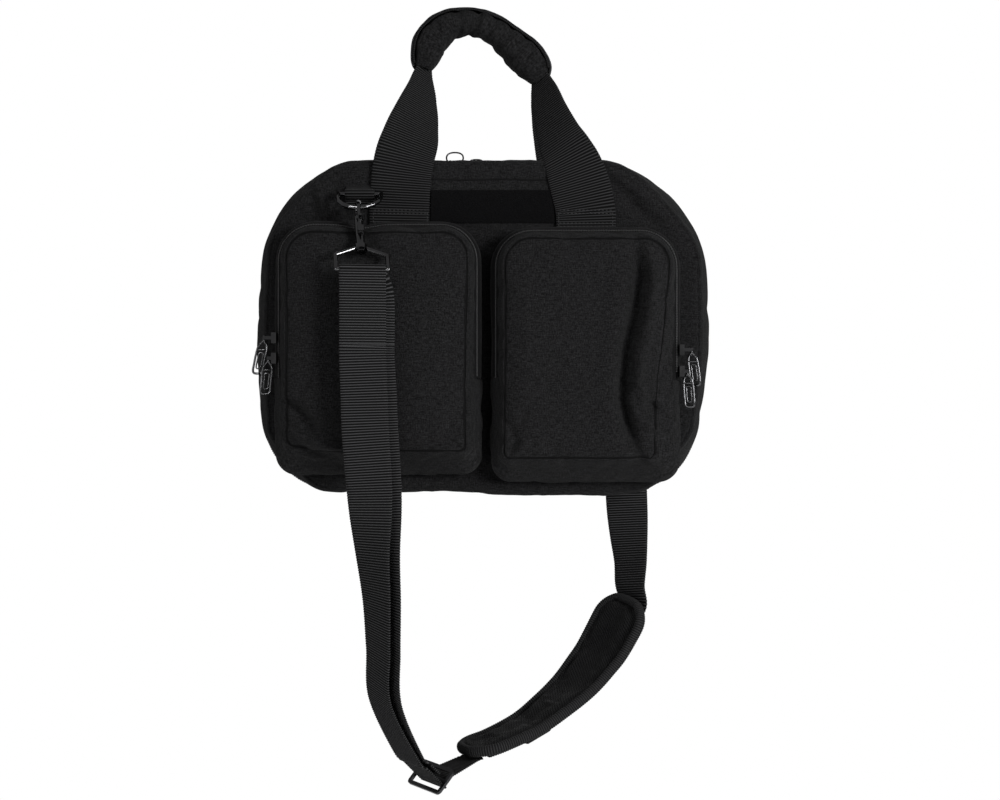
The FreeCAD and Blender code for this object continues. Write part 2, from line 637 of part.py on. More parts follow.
for side, wall_x, sign, upper_z, lower_z in (
    ("left", size("left_pocket_outer"), -1, 129.0, 112.0),
    ("right", size("right_pocket_outer"), 1, 119.0, 101.0),
):
    zip_slider(side + "_slider_upper", wall_x, sign, upper_z, 10.2)
    zip_slider(side + "_slider_lower", wall_x, sign, lower_z, 6.8)
    zip_pull(side + "_pull_upper", wall_x + sign * 10.2, upper_z)
    zip_pull(side + "_pull_lower", wall_x + sign * 6.8, lower_z)

for name, x in (("a", -27.0), ("b", -8.0)):
    top = height + 0.2
    pin_z = height + 6.8
    shapes = [Part.makeBox(10, 9, slider_high, V(x - 5, -4.5, top))]
    for offset in (-4.7, 3.5):
        shapes.append(Part.makeBox(1.2, 2.4, 4.5, V(x + offset, -1.2, height + 3.5)))
    shapes.append(cylinder_between((x - 4, 0, pin_z), (x + 4, 0, pin_z), pin))
    feature_of(fused(shapes), "main_slider_" + name)
    eye = cylinder_between((x - 3.1, 0, pin_z), (x + 3.1, 0, pin_z), 2.0)
    half_bow = [(2.3, 2.4), (6.3, 7), (6.3, 11), (3.5, 14.4)]
    bow = rods([(x - across, 0, pin_z + up) for across, up in half_bow]
               + [(x + across, 0, pin_z + up) for across, up in reversed(half_bow)], 1.0, True)
    pull = fused([eye, bow]).cut(cylinder_between((x - 4, 0, pin_z), (x + 4, 0, pin_z), pin + clear))
    feature_of(pull.removeSplitter().Solids[0], "main_pull_" + name)

for side, sign in (("left", -1), ("right", 1)):
    low_x = min(sign * 120, sign * 144)
    done(box_object(side + "_zip_end_tab", (low_x, -10.5, -1.4), (low_x + 24, -1.2, -0.02)))

# ---------------------------------------------------------------- checks and export
doc.recompute()
os.makedirs("parts", exist_ok=True)
for node in NODES:
    bad = [state for state in node.State if state in ("Invalid", "Error")]
    if bad or node.Shape.isNull() or not node.Shape.isValid():
        raise RuntimeError("bad shape: " + node.Label)
    node.Shape.exportStep(os.path.join("parts", node.Label + ".step"))
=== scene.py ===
import math

import bmesh
import bpy
import numpy as np
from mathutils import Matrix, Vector, noise
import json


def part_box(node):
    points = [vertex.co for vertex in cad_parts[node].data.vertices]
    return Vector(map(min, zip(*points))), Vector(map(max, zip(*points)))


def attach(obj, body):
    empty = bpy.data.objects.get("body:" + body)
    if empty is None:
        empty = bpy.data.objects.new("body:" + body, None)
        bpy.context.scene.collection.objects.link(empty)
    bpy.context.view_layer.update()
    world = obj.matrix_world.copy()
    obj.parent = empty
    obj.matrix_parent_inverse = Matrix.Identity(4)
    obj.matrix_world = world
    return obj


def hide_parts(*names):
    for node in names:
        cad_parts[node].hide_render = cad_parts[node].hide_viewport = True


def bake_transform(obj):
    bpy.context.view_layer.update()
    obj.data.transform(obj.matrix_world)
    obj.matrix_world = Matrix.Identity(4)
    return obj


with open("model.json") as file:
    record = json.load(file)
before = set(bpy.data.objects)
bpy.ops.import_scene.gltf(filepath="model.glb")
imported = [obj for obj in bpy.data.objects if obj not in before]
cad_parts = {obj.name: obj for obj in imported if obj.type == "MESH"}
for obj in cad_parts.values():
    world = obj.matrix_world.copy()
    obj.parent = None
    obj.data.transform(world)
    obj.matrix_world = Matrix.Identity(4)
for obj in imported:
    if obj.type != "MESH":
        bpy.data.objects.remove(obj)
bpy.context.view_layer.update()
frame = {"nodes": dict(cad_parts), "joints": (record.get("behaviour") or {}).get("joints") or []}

# Lengths below are millimetres in the bag's own frame; MM turns them into Blender metres.
MM = 0.001
FRONT = "bag_front"
REAR = "bag_rear"
HALF_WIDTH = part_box("front_panel")[1].x / MM
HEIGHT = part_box("front_panel")[1].z / MM
WEBBING_RIB = 2.2
ZIP_PITCH = 2.1


# ------------------------------------------------------------------ numbers and curves
def smooth(low, high, value):
    """0 below low, 1 above high, and a smooth step between."""
    t = np.clip((value - low) / (high - low), 0, 1)
    return t * t * (3 - 2 * t)


def bell(value, middle, width):
    """1 at the middle, falling off to almost nothing two widths away."""
    return np.exp(-(((value - middle) / width) ** 2))


def squared(value, power):
    """A sine or cosine raised to a power with its sign kept, which squares up a circle."""
    return math.copysign(abs(value) ** power, value)


def unit(vectors):
    """Each vector divided by its length."""
    return vectors / np.linalg.norm(vectors, axis=-1, keepdims=True)


def running_length(points):
    """The length along a broken line at each of its points."""
    return np.concatenate([[0], np.cumsum(np.linalg.norm(np.diff(points, axis=0), axis=1))])


def read_at(goals, run, table):
    """Every column of a table, read at places along a run."""
    return np.column_stack([np.interp(goals, run, column) for column in np.asarray(table).T])


def tangents(path, closed=False):
    """Unit directions along a path."""
    if closed:
        return unit(np.roll(path, -1, axis=0) - np.roll(path, 1, axis=0))
    return unit(np.gradient(path, axis=0))


def square_up(tangent, side):
    """The width directions made square to a path, and the face directions."""
    side = unit(side - tangent * np.sum(side * tangent, axis=1, keepdims=True))
    return side, np.cross(tangent, side)


def curve_through(points, count, closed=False):
    """Even points on a smooth curve through control points of any dimension, and the curve's length."""
    p = np.array(points, float)
    total = len(p)
    dense = []
    for i in range(total if closed else total - 1):
        places = np.arange(i - 1, i + 3)
        a, b, c, d = p[places % total if closed else np.clip(places, 0, total - 1)]
        for t in np.linspace(0, 1, 24, endpoint=False):
            quadratic = 2 * a - 5 * b + 4 * c - d
            cubic = 3 * b - 3 * c + d - a
            dense.append(0.5 * (2 * b + (c - a) * t + quadratic * t**2 + cubic * t**3))
    dense = np.array(dense + [p[0] if closed else p[-1]])
    run = running_length(dense[:, :3])
    return read_at(np.linspace(0, run[-1], count, endpoint=not closed), run, dense), run[-1]


def evenly(points, count):
    """A closed broken line of many points, cut into even steps."""
    p = np.vstack([points, points[:1]]).astype(float)
    run = running_length(p)
    return read_at(np.linspace(0, run[-1], count, endpoint=False), run, p)


def rounded_rectangle(x0, x1, z0, z1, radii):
    """A rectangle with a radius at each corner, anticlockwise from the lower left."""
    points = []
    corners = [(x0, z0, 180), (x1, z0, 270), (x1, z1, 0), (x0, z1, 90)]
    signs = [(1, 1), (-1, 1), (-1, -1), (1, -1)]
    for (x, z, start), (sx, sz), r in zip(corners, signs, radii):
        for turn in range(0, 91, 5):
            a = math.radians(start + turn)
            points.append((x + sx * r + r * math.cos(a), z + sz * r + r * math.sin(a)))
    return points


def outward(path):
    """Unit normals of a closed path in the XZ plane that runs anticlockwise."""
    step = tangents(path, True)
    return np.column_stack([step[:, 1], -step[:, 0]])


def near_line(x, z, line):
    """Distance from points to a broken line, and how far along it (0 to 1) the nearest place is."""
    best = np.full(x.shape, 1e9)
    along = np.zeros(x.shape)
    run = running_length(np.array(line, float))
    for (ax, az), (bx, bz), before, length in zip(line[:-1], line[1:], run, np.diff(run)):
        t = np.clip(((x - ax) * (bx - ax) + (z - az) * (bz - az)) / length**2, 0, 1)
        d = np.hypot(x - ax - t * (bx - ax), z - az - t * (bz - az))
        closer = d < best
        best = np.where(closer, d, best)
        along = np.where(closer, (before + t * length) / run[-1], along)
    return best, along


def creases(x, z, lines):
    """Depth of a set of soft folds: each is (broken line, width, depth), fading towards its ends."""
    depth = np.zeros(x.shape)
    for line, width, deep in lines:
        d, along = near_line(x, z, line)
        fade = np.minimum(1, np.minimum(along, 1 - along) * 5 + 0.15)
        depth += deep * bell(d, 0, width) * fade
    return depth


def ripple(points, scale, seed):
    """Smooth noise at each point, about -1 to 1."""
    shift = Vector((seed * 7.31, seed * 3.17, seed * 1.93))
    return np.array([noise.noise(Vector(p) * scale + shift) for p in points])


# ------------------------------------------------------------------ meshes
def add_piece(name, mesh):
    """A smooth-shaded object in the scene that shows a mesh."""
    obj = bpy.data.objects.new(name, mesh)
    bpy.context.scene.collection.objects.link(obj)
    mesh.shade_smooth()
    return obj


def make_object(name, verts, faces, uvs=None):
    """A mesh object from millimetre points; uvs, if given, are per vertex in millimetres."""
    mesh = bpy.data.meshes.new(name)
    mesh.from_pydata((np.asarray(verts, float) * MM).tolist(), [], [[int(i) for i in f] for f in faces])
    mesh.update()
    if uvs is not None:
        layer = mesh.uv_layers.new(name="UVMap")
        loops = np.zeros(len(mesh.loops), np.int32)
        mesh.loops.foreach_get("vertex_index", loops)
        layer.data.foreach_set("uv", (np.asarray(uvs, float)[loops] * MM).astype(np.float32).ravel())
    return add_piece(name, mesh)


def grid_faces(rows, columns, closed, joined=False):
    """Quads of a grid: closed wraps its columns round, joined makes its last row meet the first."""
    current = np.arange(rows * columns).reshape(rows, columns)
    if joined:
        current = np.vstack([current, current[:1]])
    following = np.roll(current, -1, axis=1)
    if not closed:
        current, following = current[:, :-1], following[:, :-1]
    corners = [current[:-1], following[:-1], following[1:], current[1:]]
    return np.stack(corners, axis=-1).reshape(-1, 4)


def agree_normals(obj):
    """Make the mesh's normals all point outwards."""
    bm = bmesh.new()
    bm.from_mesh(obj.data)
    bmesh.ops.recalc_face_normals(bm, faces=bm.faces)
    bm.to_mesh(obj.data)
    bm.free()
    obj.data.shade_smooth()
    return obj


def coords(obj):
    """The object's vertices in millimetres."""
    co = np.zeros(len(obj.data.vertices) * 3)
    obj.data.vertices.foreach_get("co", co)
    return co.reshape(-1, 3) / MM


def set_coords(obj, points):
    obj.data.vertices.foreach_set("co", (points * MM).astype(np.float32).ravel())
    obj.data.update()


def bake(obj):
    """Apply every modifier, so the mesh is final."""
    graph = bpy.context.evaluated_depsgraph_get()
    evaluated = obj.evaluated_get(graph)
    final = bpy.data.meshes.new_from_object(evaluated, preserve_all_data_layers=True, depsgraph=graph)
    old = obj.data
    obj.modifiers.clear()
    obj.data = final
    bpy.data.meshes.remove(old)
    final.shade_smooth()
    return obj


def give_body(obj, thickness, lining=0, rim=0):
    """Thicken an open skin and round it; lining and rim are steps onward in its list of materials."""
    if thickness:
        wall = obj.modifiers.new("wall", "SOLIDIFY")
        wall.thickness = thickness * MM
        wall.offset = -1.0
        wall.material_offset = lining
        wall.material_offset_rim = rim
    rounder = obj.modifiers.new("round", "SUBSURF")
    rounder.levels = rounder.render_levels = 1
    return bake(obj)


def through_lines(name, lines, uvs=None, joined=False, capped=True):
    """A form through its lengthwise lines, with its ends joined together, capped or left open."""
    rings = np.array(lines).transpose(1, 0, 2)
    count, loop = rings.shape[:2]
    if uvs is not None:
        uvs = np.array(uvs).transpose(1, 0, 2).reshape(-1, 2)
    faces = [tuple(f) for f in grid_faces(count, loop, True, joined)]
    if capped and not joined:
        faces.append(tuple(range(loop))[::-1])
        faces.append(tuple(range((count - 1) * loop, count * loop)))
    return agree_normals(make_object(name, rings.reshape(-1, 3), faces, uvs))


# Webbing's section: places across the width, and how much of the thickness and ribs each one has.
RIBBON_ACROSS = (-1, -0.97, -0.8, -0.5, -0.2, 0.2, 0.5, 0.8, 0.97, 1)
RIBBON_LIFT = (0.35, 0.9, 1, 1, 1, 1, 1, 1, 0.9, 0.35)
STEPS_PER_RIB = 4.0


def ribbon(name, stations, wide, thick, rib=WEBBING_RIB, relief=0.26):
    """Woven webbing along stations (x, y, z, wx, wy, wz[, share of the width]), with real cross ribs."""
    table = np.array(stations, float)
    rough_length = curve_through(table, 50)[1]
    count = max(8, int(rough_length * (STEPS_PER_RIB / rib)))
    path, length = curve_through(table, count)
    centre = path[:, :3]
    side, normal = square_up(tangents(centre), path[:, 3:6])
    half = wide / 2 * (path[:, 6] if path.shape[1] > 6 else np.ones(count))
    run = np.linspace(0, length, count)
    ribs = np.cos(2 * np.pi * run / rib)
    lines = []
    uvs = []
    for face in (1, -1):
        for a, share in zip(RIBBON_ACROSS[::face], RIBBON_LIFT[::face]):
            height = face * (thick / 2 * share + relief * ribs * (0.4 + 0.6 * share))
            edge = a * (half + 0.12 * ribs * (abs(a) > 0.9))
            lines.append(centre + side * edge[:, None] + normal * height[:, None])
            uvs.append(np.column_stack([a * half, run]))
    return through_lines(name, lines, uvs)


def bent_bar(name, points, radius, closed, sides, count):
    """A round bar bent along a smooth path."""
    path, _ = curve_through(points, count, closed)
    tangent = tangents(path, closed)
    flat = np.linalg.svd(path - path.mean(0))[2][2]
    first = np.cross(tangent, flat)
    size = np.linalg.norm(first, axis=1)[:, None]
    first = np.where(size > 1e-6, first / np.maximum(size, 1e-6), np.array([1.0, 0, 0]))
    second = np.cross(tangent, first)
    lines = []
    for i in range(sides):
        a = 2 * math.pi * i / sides
        lines.append(path + (first * math.cos(a) + second * math.sin(a)) * radius)
    return through_lines(name, lines, joined=closed)


def join(name, objects):
    """Several meshes as one piece."""
    bm = bmesh.new()
    for obj in objects:
        bm.from_mesh(obj.data)
        bpy.data.objects.remove(obj)
    mesh = bpy.data.meshes.new(name)
    bm.to_mesh(mesh)
    bm.free()
    return add_piece(name, mesh)


def small_bars(name, points):
    """Small closed bars, each of four sections with four points, as one mesh."""
    faces = []
    for base in range(0, len(points), 16):
        faces.extend(grid_faces(4, 4, True) + base)
        faces.append((base, base + 3, base + 2, base + 1))
        faces.append((base + 12, base + 13, base + 14, base + 15))
    return make_object(name, points, faces)


def stitch_rows(name, rows, normal, length, gap, wide, high):
    """Raised stitches along straight rows (from, to), each a small rounded lozenge lying on the cloth."""
    points = []
    for start, end in rows:
        start, end = np.array(start, float), np.array(end, float)
        way = unit(end - start)
        side = np.cross(normal, way)
        for s in np.arange(0, np.linalg.norm(end - start) - length, length + gap):
            for share, w, h in ((0, 0.35, 0.1), (0.3, 1, 1), (0.7, 1, 1), (1, 0.35, 0.1)):
                centre = start + way * (s + length * share)
                for across, up in ((-0.5, -0.3), (-0.35, 0.8), (0.35, 0.8), (0.5, -0.3)):
                    points.append(centre + side * (across * wide * w) + np.array(normal) * (up * high * h))
    return small_bars(name, points)


def zip_teeth(name, path, normals, lead, lag, offset, high=1.3):
    """One half of a coil zipper: rounded coils standing on a path, reaching from y = lead to y = lag."""
    run = running_length(path)
    points = []
    for s in np.arange(ZIP_PITCH * offset, run[-1] - ZIP_PITCH, ZIP_PITCH):
        p = read_at(s, run, path)[0]
        n = unit(read_at(s, run, normals)[0])
        t = np.array([-n[1], n[0]])
        for share, grow in ((0.0, 0.7), (0.25, 1.0), (0.75, 1.0), (1.0, 0.6)):
            for along, up in ((-0.5, -0.4), (-0.36, 0.45), (0.36, 0.45), (0.5, -0.4)):
                x, z = p + t * (along * ZIP_PITCH * 0.52 * grow) + n * (up * high * grow)
                points.append((x, lead + (lag - lead) * share, z))
    return agree_normals(small_bars(name, points))


def skin(name, rows, belt, closed=True, keep=None, pins=None):
    """Cloth over rows of points, mapped round the edge for the first belt strips and flat beyond them."""
    rows = np.array(rows, float)
    count, columns = rows.shape[:2]
    faces = grid_faces(count, columns, closed)
    spans = columns if closed else columns - 1
    run = running_length(np.vstack([rows[belt], rows[belt][:1]]))
    drop = np.concatenate([[0], np.cumsum(np.linalg.norm(np.diff(rows, axis=0), axis=2).mean(1))])
    points = rows.reshape(-1, 3)
    uvs = points[faces][:, :, [0, 2]]
    for strip in range(min(belt, count - 1)):
        u = np.stack([run[:spans], run[1:spans + 1], run[1:spans + 1], run[:spans]], axis=-1)
        v = np.broadcast_to(drop[[strip, strip, strip + 1, strip + 1]], u.shape)
        uvs[strip * spans:(strip + 1) * spans] = np.stack([u, v], axis=-1)
    if keep is not None:
        middles = points[faces].mean(1)
        wanted = np.array([bool(keep(m, i // spans)) for i, m in enumerate(middles)])
        faces, uvs = faces[wanted], uvs[wanted]
    # Rows that close onto a spine share its points.
    used = np.unique(faces)
    rounded = np.round(points[used], 3)
    _, first, same = np.unique(rounded, axis=0, return_index=True, return_inverse=True)
    rank = np.argsort(np.argsort(first))
    number = np.full(len(points), -1)
    number[used] = rank[same.ravel()]
    firsts = used[np.sort(first)]
    polygons = []
    corners = []
    for face, uv in zip(number[faces], uvs):
        pick = [k for k in range(4) if face[k] != face[k - 1]]
        if len(set(face[pick])) == len(pick) and len(pick) > 2:
            polygons.append(face[pick])
            corners.extend(uv[k] for k in pick)
    obj = make_object(name, points[firsts], polygons)
    layer = obj.data.uv_layers.new(name="UVMap")
    layer.data.foreach_set("uv", (np.array(corners) * MM).astype(np.float32).ravel())
    held = None if pins is None else np.array(pins, float).reshape(-1)[firsts]
    return obj, held


# ------------------------------------------------------------------ cloth simulation
PRESSURE = 4.0
STIFFNESS = 12.0
CLOTH_FRAMES = 20


def puff(obj, pins, slack, cap):
    """Swell a skin as sewn cloth: pinned vertices hold, the rest fills, and none moves past cap."""
    rest = coords(obj)
    group = obj.vertex_groups.new(name="pins")
    for index, weight in enumerate(pins):
        if weight > 0:
            group.add([index], float(weight), "REPLACE")
    cloth = obj.modifiers.new("cloth", "CLOTH")
    settings = cloth.settings
    settings.quality = 5
    settings.mass = 0.25
    settings.tension_stiffness = STIFFNESS
    settings.compression_stiffness = STIFFNESS
    settings.shear_stiffness = STIFFNESS / 2
    settings.bending_stiffness = 0.35
    settings.use_pressure = True
    settings.uniform_pressure_force = PRESSURE
    settings.shrink_min = -slack
    settings.vertex_group_mass = "pins"
    settings.effector_weights.gravity = 0
    for step in range(1, CLOTH_FRAMES + 1):
        bpy.context.scene.frame_set(step)
    moved = coords(obj.evaluated_get(bpy.context.evaluated_depsgraph_get())) - rest
    size = np.linalg.norm(moved, axis=1)[:, None]
    moved *= np.minimum(1, cap / np.maximum(size, 1e-9))
    obj.modifiers.remove(cloth)
    obj.vertex_groups.remove(group)
    bpy.context.scene.frame_set(1)
    set_coords(obj, rest + moved)


# ------------------------------------------------------------------ materials
class Pattern:
    """A new material, and the few kinds of node its pattern is drawn with."""

    def __init__(self, name, rough, sheen=0.0, metal=0.0, specular=0.07, space="UV"):
        self.material = bpy.data.materials.new(name)
        self.material.use_nodes = True
        self.tree = self.material.node_tree
        self.shader = self.tree.nodes["Principled BSDF"]
        self.set("Metallic", metal)
        self.set("Roughness", rough)
        self.set("Sheen Weight", sheen)
        self.set("Sheen Roughness", 0.5)
        self.set("Specular IOR Level", specular)
        source = self.node("TexCoord")
        split = self.node("SeparateXYZ")
        self.vector = source.outputs[space]
        self.link(self.vector, split.inputs[0])
        self.u, self.v = split.outputs[0], split.outputs[1]

    def set(self, field, value):
        self.shader.inputs[field].default_value = value

    def node(self, kind):
        return self.tree.nodes.new("ShaderNode" + kind)

    def link(self, source, target):
        self.tree.links.new(source, target)

    def maths(self, operation, *values):
        node = self.node("Math")
        node.operation = operation
        for socket, value in zip(node.inputs, values):
            if hasattr(value, "is_output"):
                self.link(value, socket)
            else:
                socket.default_value = value
        return node.outputs[0]

    def scaled(self, value, by, plus):
        return self.maths("MULTIPLY_ADD", value, by, plus)

    def grain(self, scale, detail=3.0, vector=None):
        """Noise over the cloth, about 0 to 1."""
        node = self.node("TexNoise")
        node.inputs["Scale"].default_value = scale
        node.inputs["Detail"].default_value = detail
        self.link(vector or self.vector, node.inputs["Vector"])
        return node.outputs["Fac"]

    def wave(self, value, period):
        """A cosine along a coordinate, with its period in metres."""
        return self.maths("COSINE", self.scaled(value, 2 * math.pi / period, 0.0))

    def stretched(self, across, along):
        """Noise drawn out along the threads: a different scale for u and for v."""
        merge = self.node("CombineXYZ")
        self.link(self.maths("MULTIPLY", self.u, across), merge.inputs[0])
        self.link(self.maths("MULTIPLY", self.v, along), merge.inputs[1])
        return self.grain(1.0, 2.0, merge.outputs[0])

    def finish(self, level, colour, *bumps):
        """Colour scaled by a level near 1, and a chain of bumps: (height, metres, strength)."""
        mix = self.node("Mix")
        mix.data_type = "RGBA"
        mix.blend_type = "MULTIPLY"
        mix.inputs["Factor"].default_value = 1.0
        mix.inputs["A"].default_value = (*colour, 1)
        self.link(level, mix.inputs["B"])
        self.link(mix.outputs["Result"], self.shader.inputs["Base Color"])
        normal = None
        for height, distance, strength in bumps:
            bump = self.node("Bump")
            bump.inputs["Distance"].default_value = distance
            bump.inputs["Strength"].default_value = strength
            self.link(height, bump.inputs["Height"])
            if normal is not None:
                self.link(normal, bump.inputs["Normal"])
            normal = bump.outputs["Normal"]
        self.link(normal, self.shader.inputs["Normal"])
        return self.material


def woven(name, colour, period=0.0011, depth=0.00014, mottle=0.35, sheen=0.03, contrast=1.0):
    """Plain woven cloth: warp and weft waves, uneven threads both ways and a slow mottling."""
    p = Pattern(name, 0.88, sheen)
    weave = p.maths("MULTIPLY", p.wave(p.u, period), p.wave(p.v, period))
    threads = p.maths("ADD", p.stretched(170.0, 1150.0), p.stretched(1150.0, 260.0))
    speck = p.grain(950.0, 1.0)
    cloud = p.grain(38.0, 4.0)
    level = p.scaled(weave, 0.2 * contrast, 1.0 - mottle / 2 - 2.1 * contrast)
    level = p.scaled(cloud, mottle, level)
    level = p.scaled(threads, 1.35 * contrast, level)
    level = p.scaled(speck, 1.5 * contrast, level)
    level = p.maths("MAXIMUM", level, 0.15)
    rugged = p.scaled(threads, 1.2, weave)
    return p.finish(level, colour, (cloud, 0.0012, 0.25), (rugged, depth, 1.0))


def ribbed(name, colour, period=WEBBING_RIB * MM, contrast=0.7):
    """Webbing: ribs across the length, with painted light on their crowns, painted shade in the gaps
    between them, and fine diagonal threads.
    """
    p = Pattern(name, 0.75, 0.02, specular=0.06)
    rib = p.wave(p.v, period)
    thread = p.wave(p.maths("ADD", p.u, p.v), 0.0012)
    # The rib wave brightens each crown and darkens each gap: painted light and shade, as strong as contrast
    # sets it.
    level = p.scaled(rib, contrast, 1.0)
    level = p.scaled(p.maths("MULTIPLY", level, level), 0.67, 0.02)
    level = p.scaled(p.maths("MULTIPLY", thread, level), 0.25, level)
    level = p.scaled(p.grain(700.0, 2.0), 0.3, p.maths("SUBTRACT", level, 0.15))
    return p.finish(level, colour, (thread, 0.00008, 0.6), (rib, 0.0002, 0.35))


def netting(name, colour):
    """Spacer mesh: close rows of small holes over a soft pad."""
    p = Pattern(name, 0.85, 0.03)
    slant = p.wave(p.maths("ADD", p.u, p.v), 0.0026)
    holes = p.maths("MULTIPLY", slant, p.wave(p.maths("SUBTRACT", p.u, p.v), 0.0034))
    level = p.scaled(slant, 0.75, 0.95)
    level = p.maths("MAXIMUM", p.scaled(holes, 0.35, level), 0.1)
    level = p.scaled(p.grain(60.0), 0.4, level)
    return p.finish(level, colour, (holes, 0.0003, 0.6), (slant, 0.00025, 0.8))


def plated(name, colour, rough):
    """Dark plate or painted metal: a blurred mirror with a little wear."""
    p = Pattern(name, rough, metal=1.0, specular=0.5, space="Object")
    cloud = p.grain(90.0, 4.0)
    p.link(p.scaled(cloud, 0.18, rough - 0.09), p.shader.inputs["Roughness"])
    level = p.scaled(cloud, 0.5, 0.75)
    return p.finish(level, colour, (p.grain(1500.0, 2.0), 0.00002, 0.2), (cloud, 0.0002, 0.15))


def plastic(name, colour, rough):
    """Nylon coil, thread or board: a faint grain and a soft shine."""
    p = Pattern(name, rough, specular=0.5, space="Object")
    cloud = p.grain(120.0, 4.0)
    level = p.scaled(cloud, 0.5, 0.75)
    return p.finish(level, colour, (p.grain(2500.0, 2.0), 0.00003, 0.4), (cloud, 0.0002, 0.2))


def fuzzy(name, colour):
    """Loop pile: matt, with a strong small mottle."""
    p = Pattern(name, 1.0, 0.02, specular=0.05)
    tuft = p.grain(1100.0)
    cloud = p.grain(160.0)
    level = p.scaled(cloud, 0.5, p.scaled(tuft, 1.3, 0.1))
    return p.finish(level, colour, (tuft, 0.0006, 1.0), (cloud, 0.001, 0.5))


BODY_CLOTH = woven("shell_cloth", (0.0070, 0.0070, 0.0073), mottle=0.25, sheen=0.02, contrast=2.2)
SEAM_CLOTH = woven("seam_cloth", (0.0095, 0.0095, 0.0100), mottle=0.2)
SEAM_DARK = woven("seam_shadow", (0.0036, 0.0036, 0.0037), mottle=0.2, sheen=0.0)
LINING = woven("lining", (0.024, 0.024, 0.026), 0.0008, 0.00006, 0.2, 0.05, contrast=0.4)
# The ribbed webbing and bindings carry painted light on their rib crowns and painted shade in their gaps;
# contrast sets how strong it is.
WEBBING = ribbed("webbing", (0.0088, 0.0088, 0.0091), contrast=1.6)
WEBBING_FINE = ribbed("handle_webbing", (0.0058, 0.0058, 0.0060), contrast=1.5)
BINDING = ribbed("binding", (0.009, 0.009, 0.0094), 0.0016, 0.6)
PAD_BINDING = ribbed("pad_binding", (0.015, 0.015, 0.0155), 0.0021, 0.45)
NET = netting("mesh_face", (0.0050, 0.0050, 0.0052))
PILE = fuzzy("loop_pile", (0.0022, 0.0022, 0.0024))
COIL = plastic("zip_coil", (0.034, 0.034, 0.035), 0.32)
TAPE = woven("zip_tape", (0.0030, 0.0030, 0.0032), 0.0006, 0.00005, 0.15, 0.02, contrast=0.4)
THREAD = plastic("thread", (0.010, 0.010, 0.0105), 0.7)
BOARD = plastic("stiff_board", (0.012, 0.012, 0.012), 0.6)
METAL = plated("black_nickel", (0.115, 0.115, 0.118), 0.13)
METAL_WORN = plated("worn_nickel", (0.080, 0.080, 0.083), 0.22)
METAL_DARK = plated("painted_metal", (0.055, 0.055, 0.058), 0.32)


def dress(obj, *materials):
    """Give a piece its materials."""
    obj.data.materials.clear()
    for material in materials:
        obj.data.materials.append(material)


def settle(obj, nodes, body, *onward):
    """Hide the CAD nodes a piece stands for; then ride the piece on a body or, when anything is given
    onward, bake its place into its mesh.
    """
    if nodes:
        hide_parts(*nodes.split())
    if onward:
        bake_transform(obj)
    else:
        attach(obj, body)


# ------------------------------------------------------------------ the bag's two shells
COLUMNS = 240
SPINE = 105.0
MIDDLE = 140
edge = evenly(rounded_rectangle(-HALF_WIDTH, HALF_WIDTH, 0, HEIGHT, (54, 58, 90, 78)), COLUMNS)
edge_out = outward(edge)


def shaped_sides(line, left, right):
    """A line round the bag with both sides bulging at mid height and the lower right drawn in."""
    swell = np.sin(np.pi * np.clip((line[:, 1] - 12) / 230, 0, 1)) ** 1.3
    line[:, 0] += np.where(line[:, 0] < 0, left, right) * swell * (np.abs(line[:, 0]) > 100)
    line[:, 0] -= 6.0 * bell(line[:, 1], 48, 44) * smooth(100, 150, line[:, 0])
    return line


def zip_line():
    """The line of the main zipper."""
    return shaped_sides(edge.copy(), -9.0, 5.0)


def seam_line(front):
    """The corner seam between a gusset and its panel, drawn in at the sides and sagging at the base."""
    nx, nz = edge_out[:, 0], edge_out[:, 1]
    inset = 6.5 * np.abs(nx) + 8.0 * (2 * np.abs(nx * nz)) ** 2 - 1.2
    line = shaped_sides(edge - edge_out * inset[:, None], -5.0, 2.5)
    if front:
        line[:, 1] -= 3.5 * (line[:, 1] < 60) * smooth(-40, 40, line[:, 0]) * smooth(150, 100, line[:, 0])
    return line


# Folds are (line of x and z, width, depth); a negative depth is pressed in.
FRONT_FOLDS = (
    (((104, 268), (120, 252), (134, 236), (152, 224)), 4.5, -4.0),
    (((118, 268), (136, 250), (150, 240)), 5.0, 2.2),
    (((-153, 259), (-146, 245), (-141, 228)), 3.0, -4.2),
    (((-163, 250), (-157, 232)), 3.5, -3.0),
    (((-147, 262), (-138, 246), (-133, 230)), 2.6, 2.2),
    (((-126, 268), (-132, 248)), 3.0, -2.4),
    (((0, 22), (9, 13), (20, 9)), 3.2, -2.6),
    (((24, 14), (10, 6), (-12, 2)), 4.0, 1.6),
    (((-46, 192), (-20, 199), (6, 200), (30, 195)), 3.0, 1.4),
    (((-30, 206), (0, 208), (26, 206)), 2.4, -1.4),
)


def panel_relief(x, z, front):
    """How far a panel stands out beyond its flat face."""
    rise = np.clip(0.9 * ripple(np.column_stack([x, z, x * 0]), 0.021, 3 if front else 9), -0.8, 0.5)
    top = smooth(150, 120, np.abs(x))
    if front:
        rise = rise + creases(x, z, FRONT_FOLDS) - 1.1 * bell(z, 266, 1.3) * top
        rise = rise + 1.0 * smooth(266.5, 270, z) * smooth(283, 276, z) * top
        return rise + 0.9 * bell(z, 258.5, 1.5) * smooth(62, 50, np.abs(x + 2))
    quarter = np.pi / 2
    crown = np.cos(np.clip(x / 190, -1, 1) * quarter)
    crown = crown * np.cos(np.clip((z - MIDDLE) / 150, -1, 1) * quarter)
    return rise + 3.5 * crown - 1.0 * bell(z, 262, 1.3) * top


# Strips of the gusset from the zipper to the seam: (y, how far they stand out).
GUSSET = ((1.3, 0.2), (6.6, -0.2), (7.2, 0.9), (12, 0.4), (17, 0.6), (22, 0.8), (27, 0.9), (32, 0.9),
          (37, 0.6), (42, 0.3), (46, 0.0))
# Strips of the piped seam: (inset from the seam's line, y).
PIPING = ((0.4, 48.2), (1.8, 49.8), (3.2, 50.4), (4.4, 49.4), (6.0, 50.3))
EDGE_STRIPS = 13
TAPE_HALF = 7.2


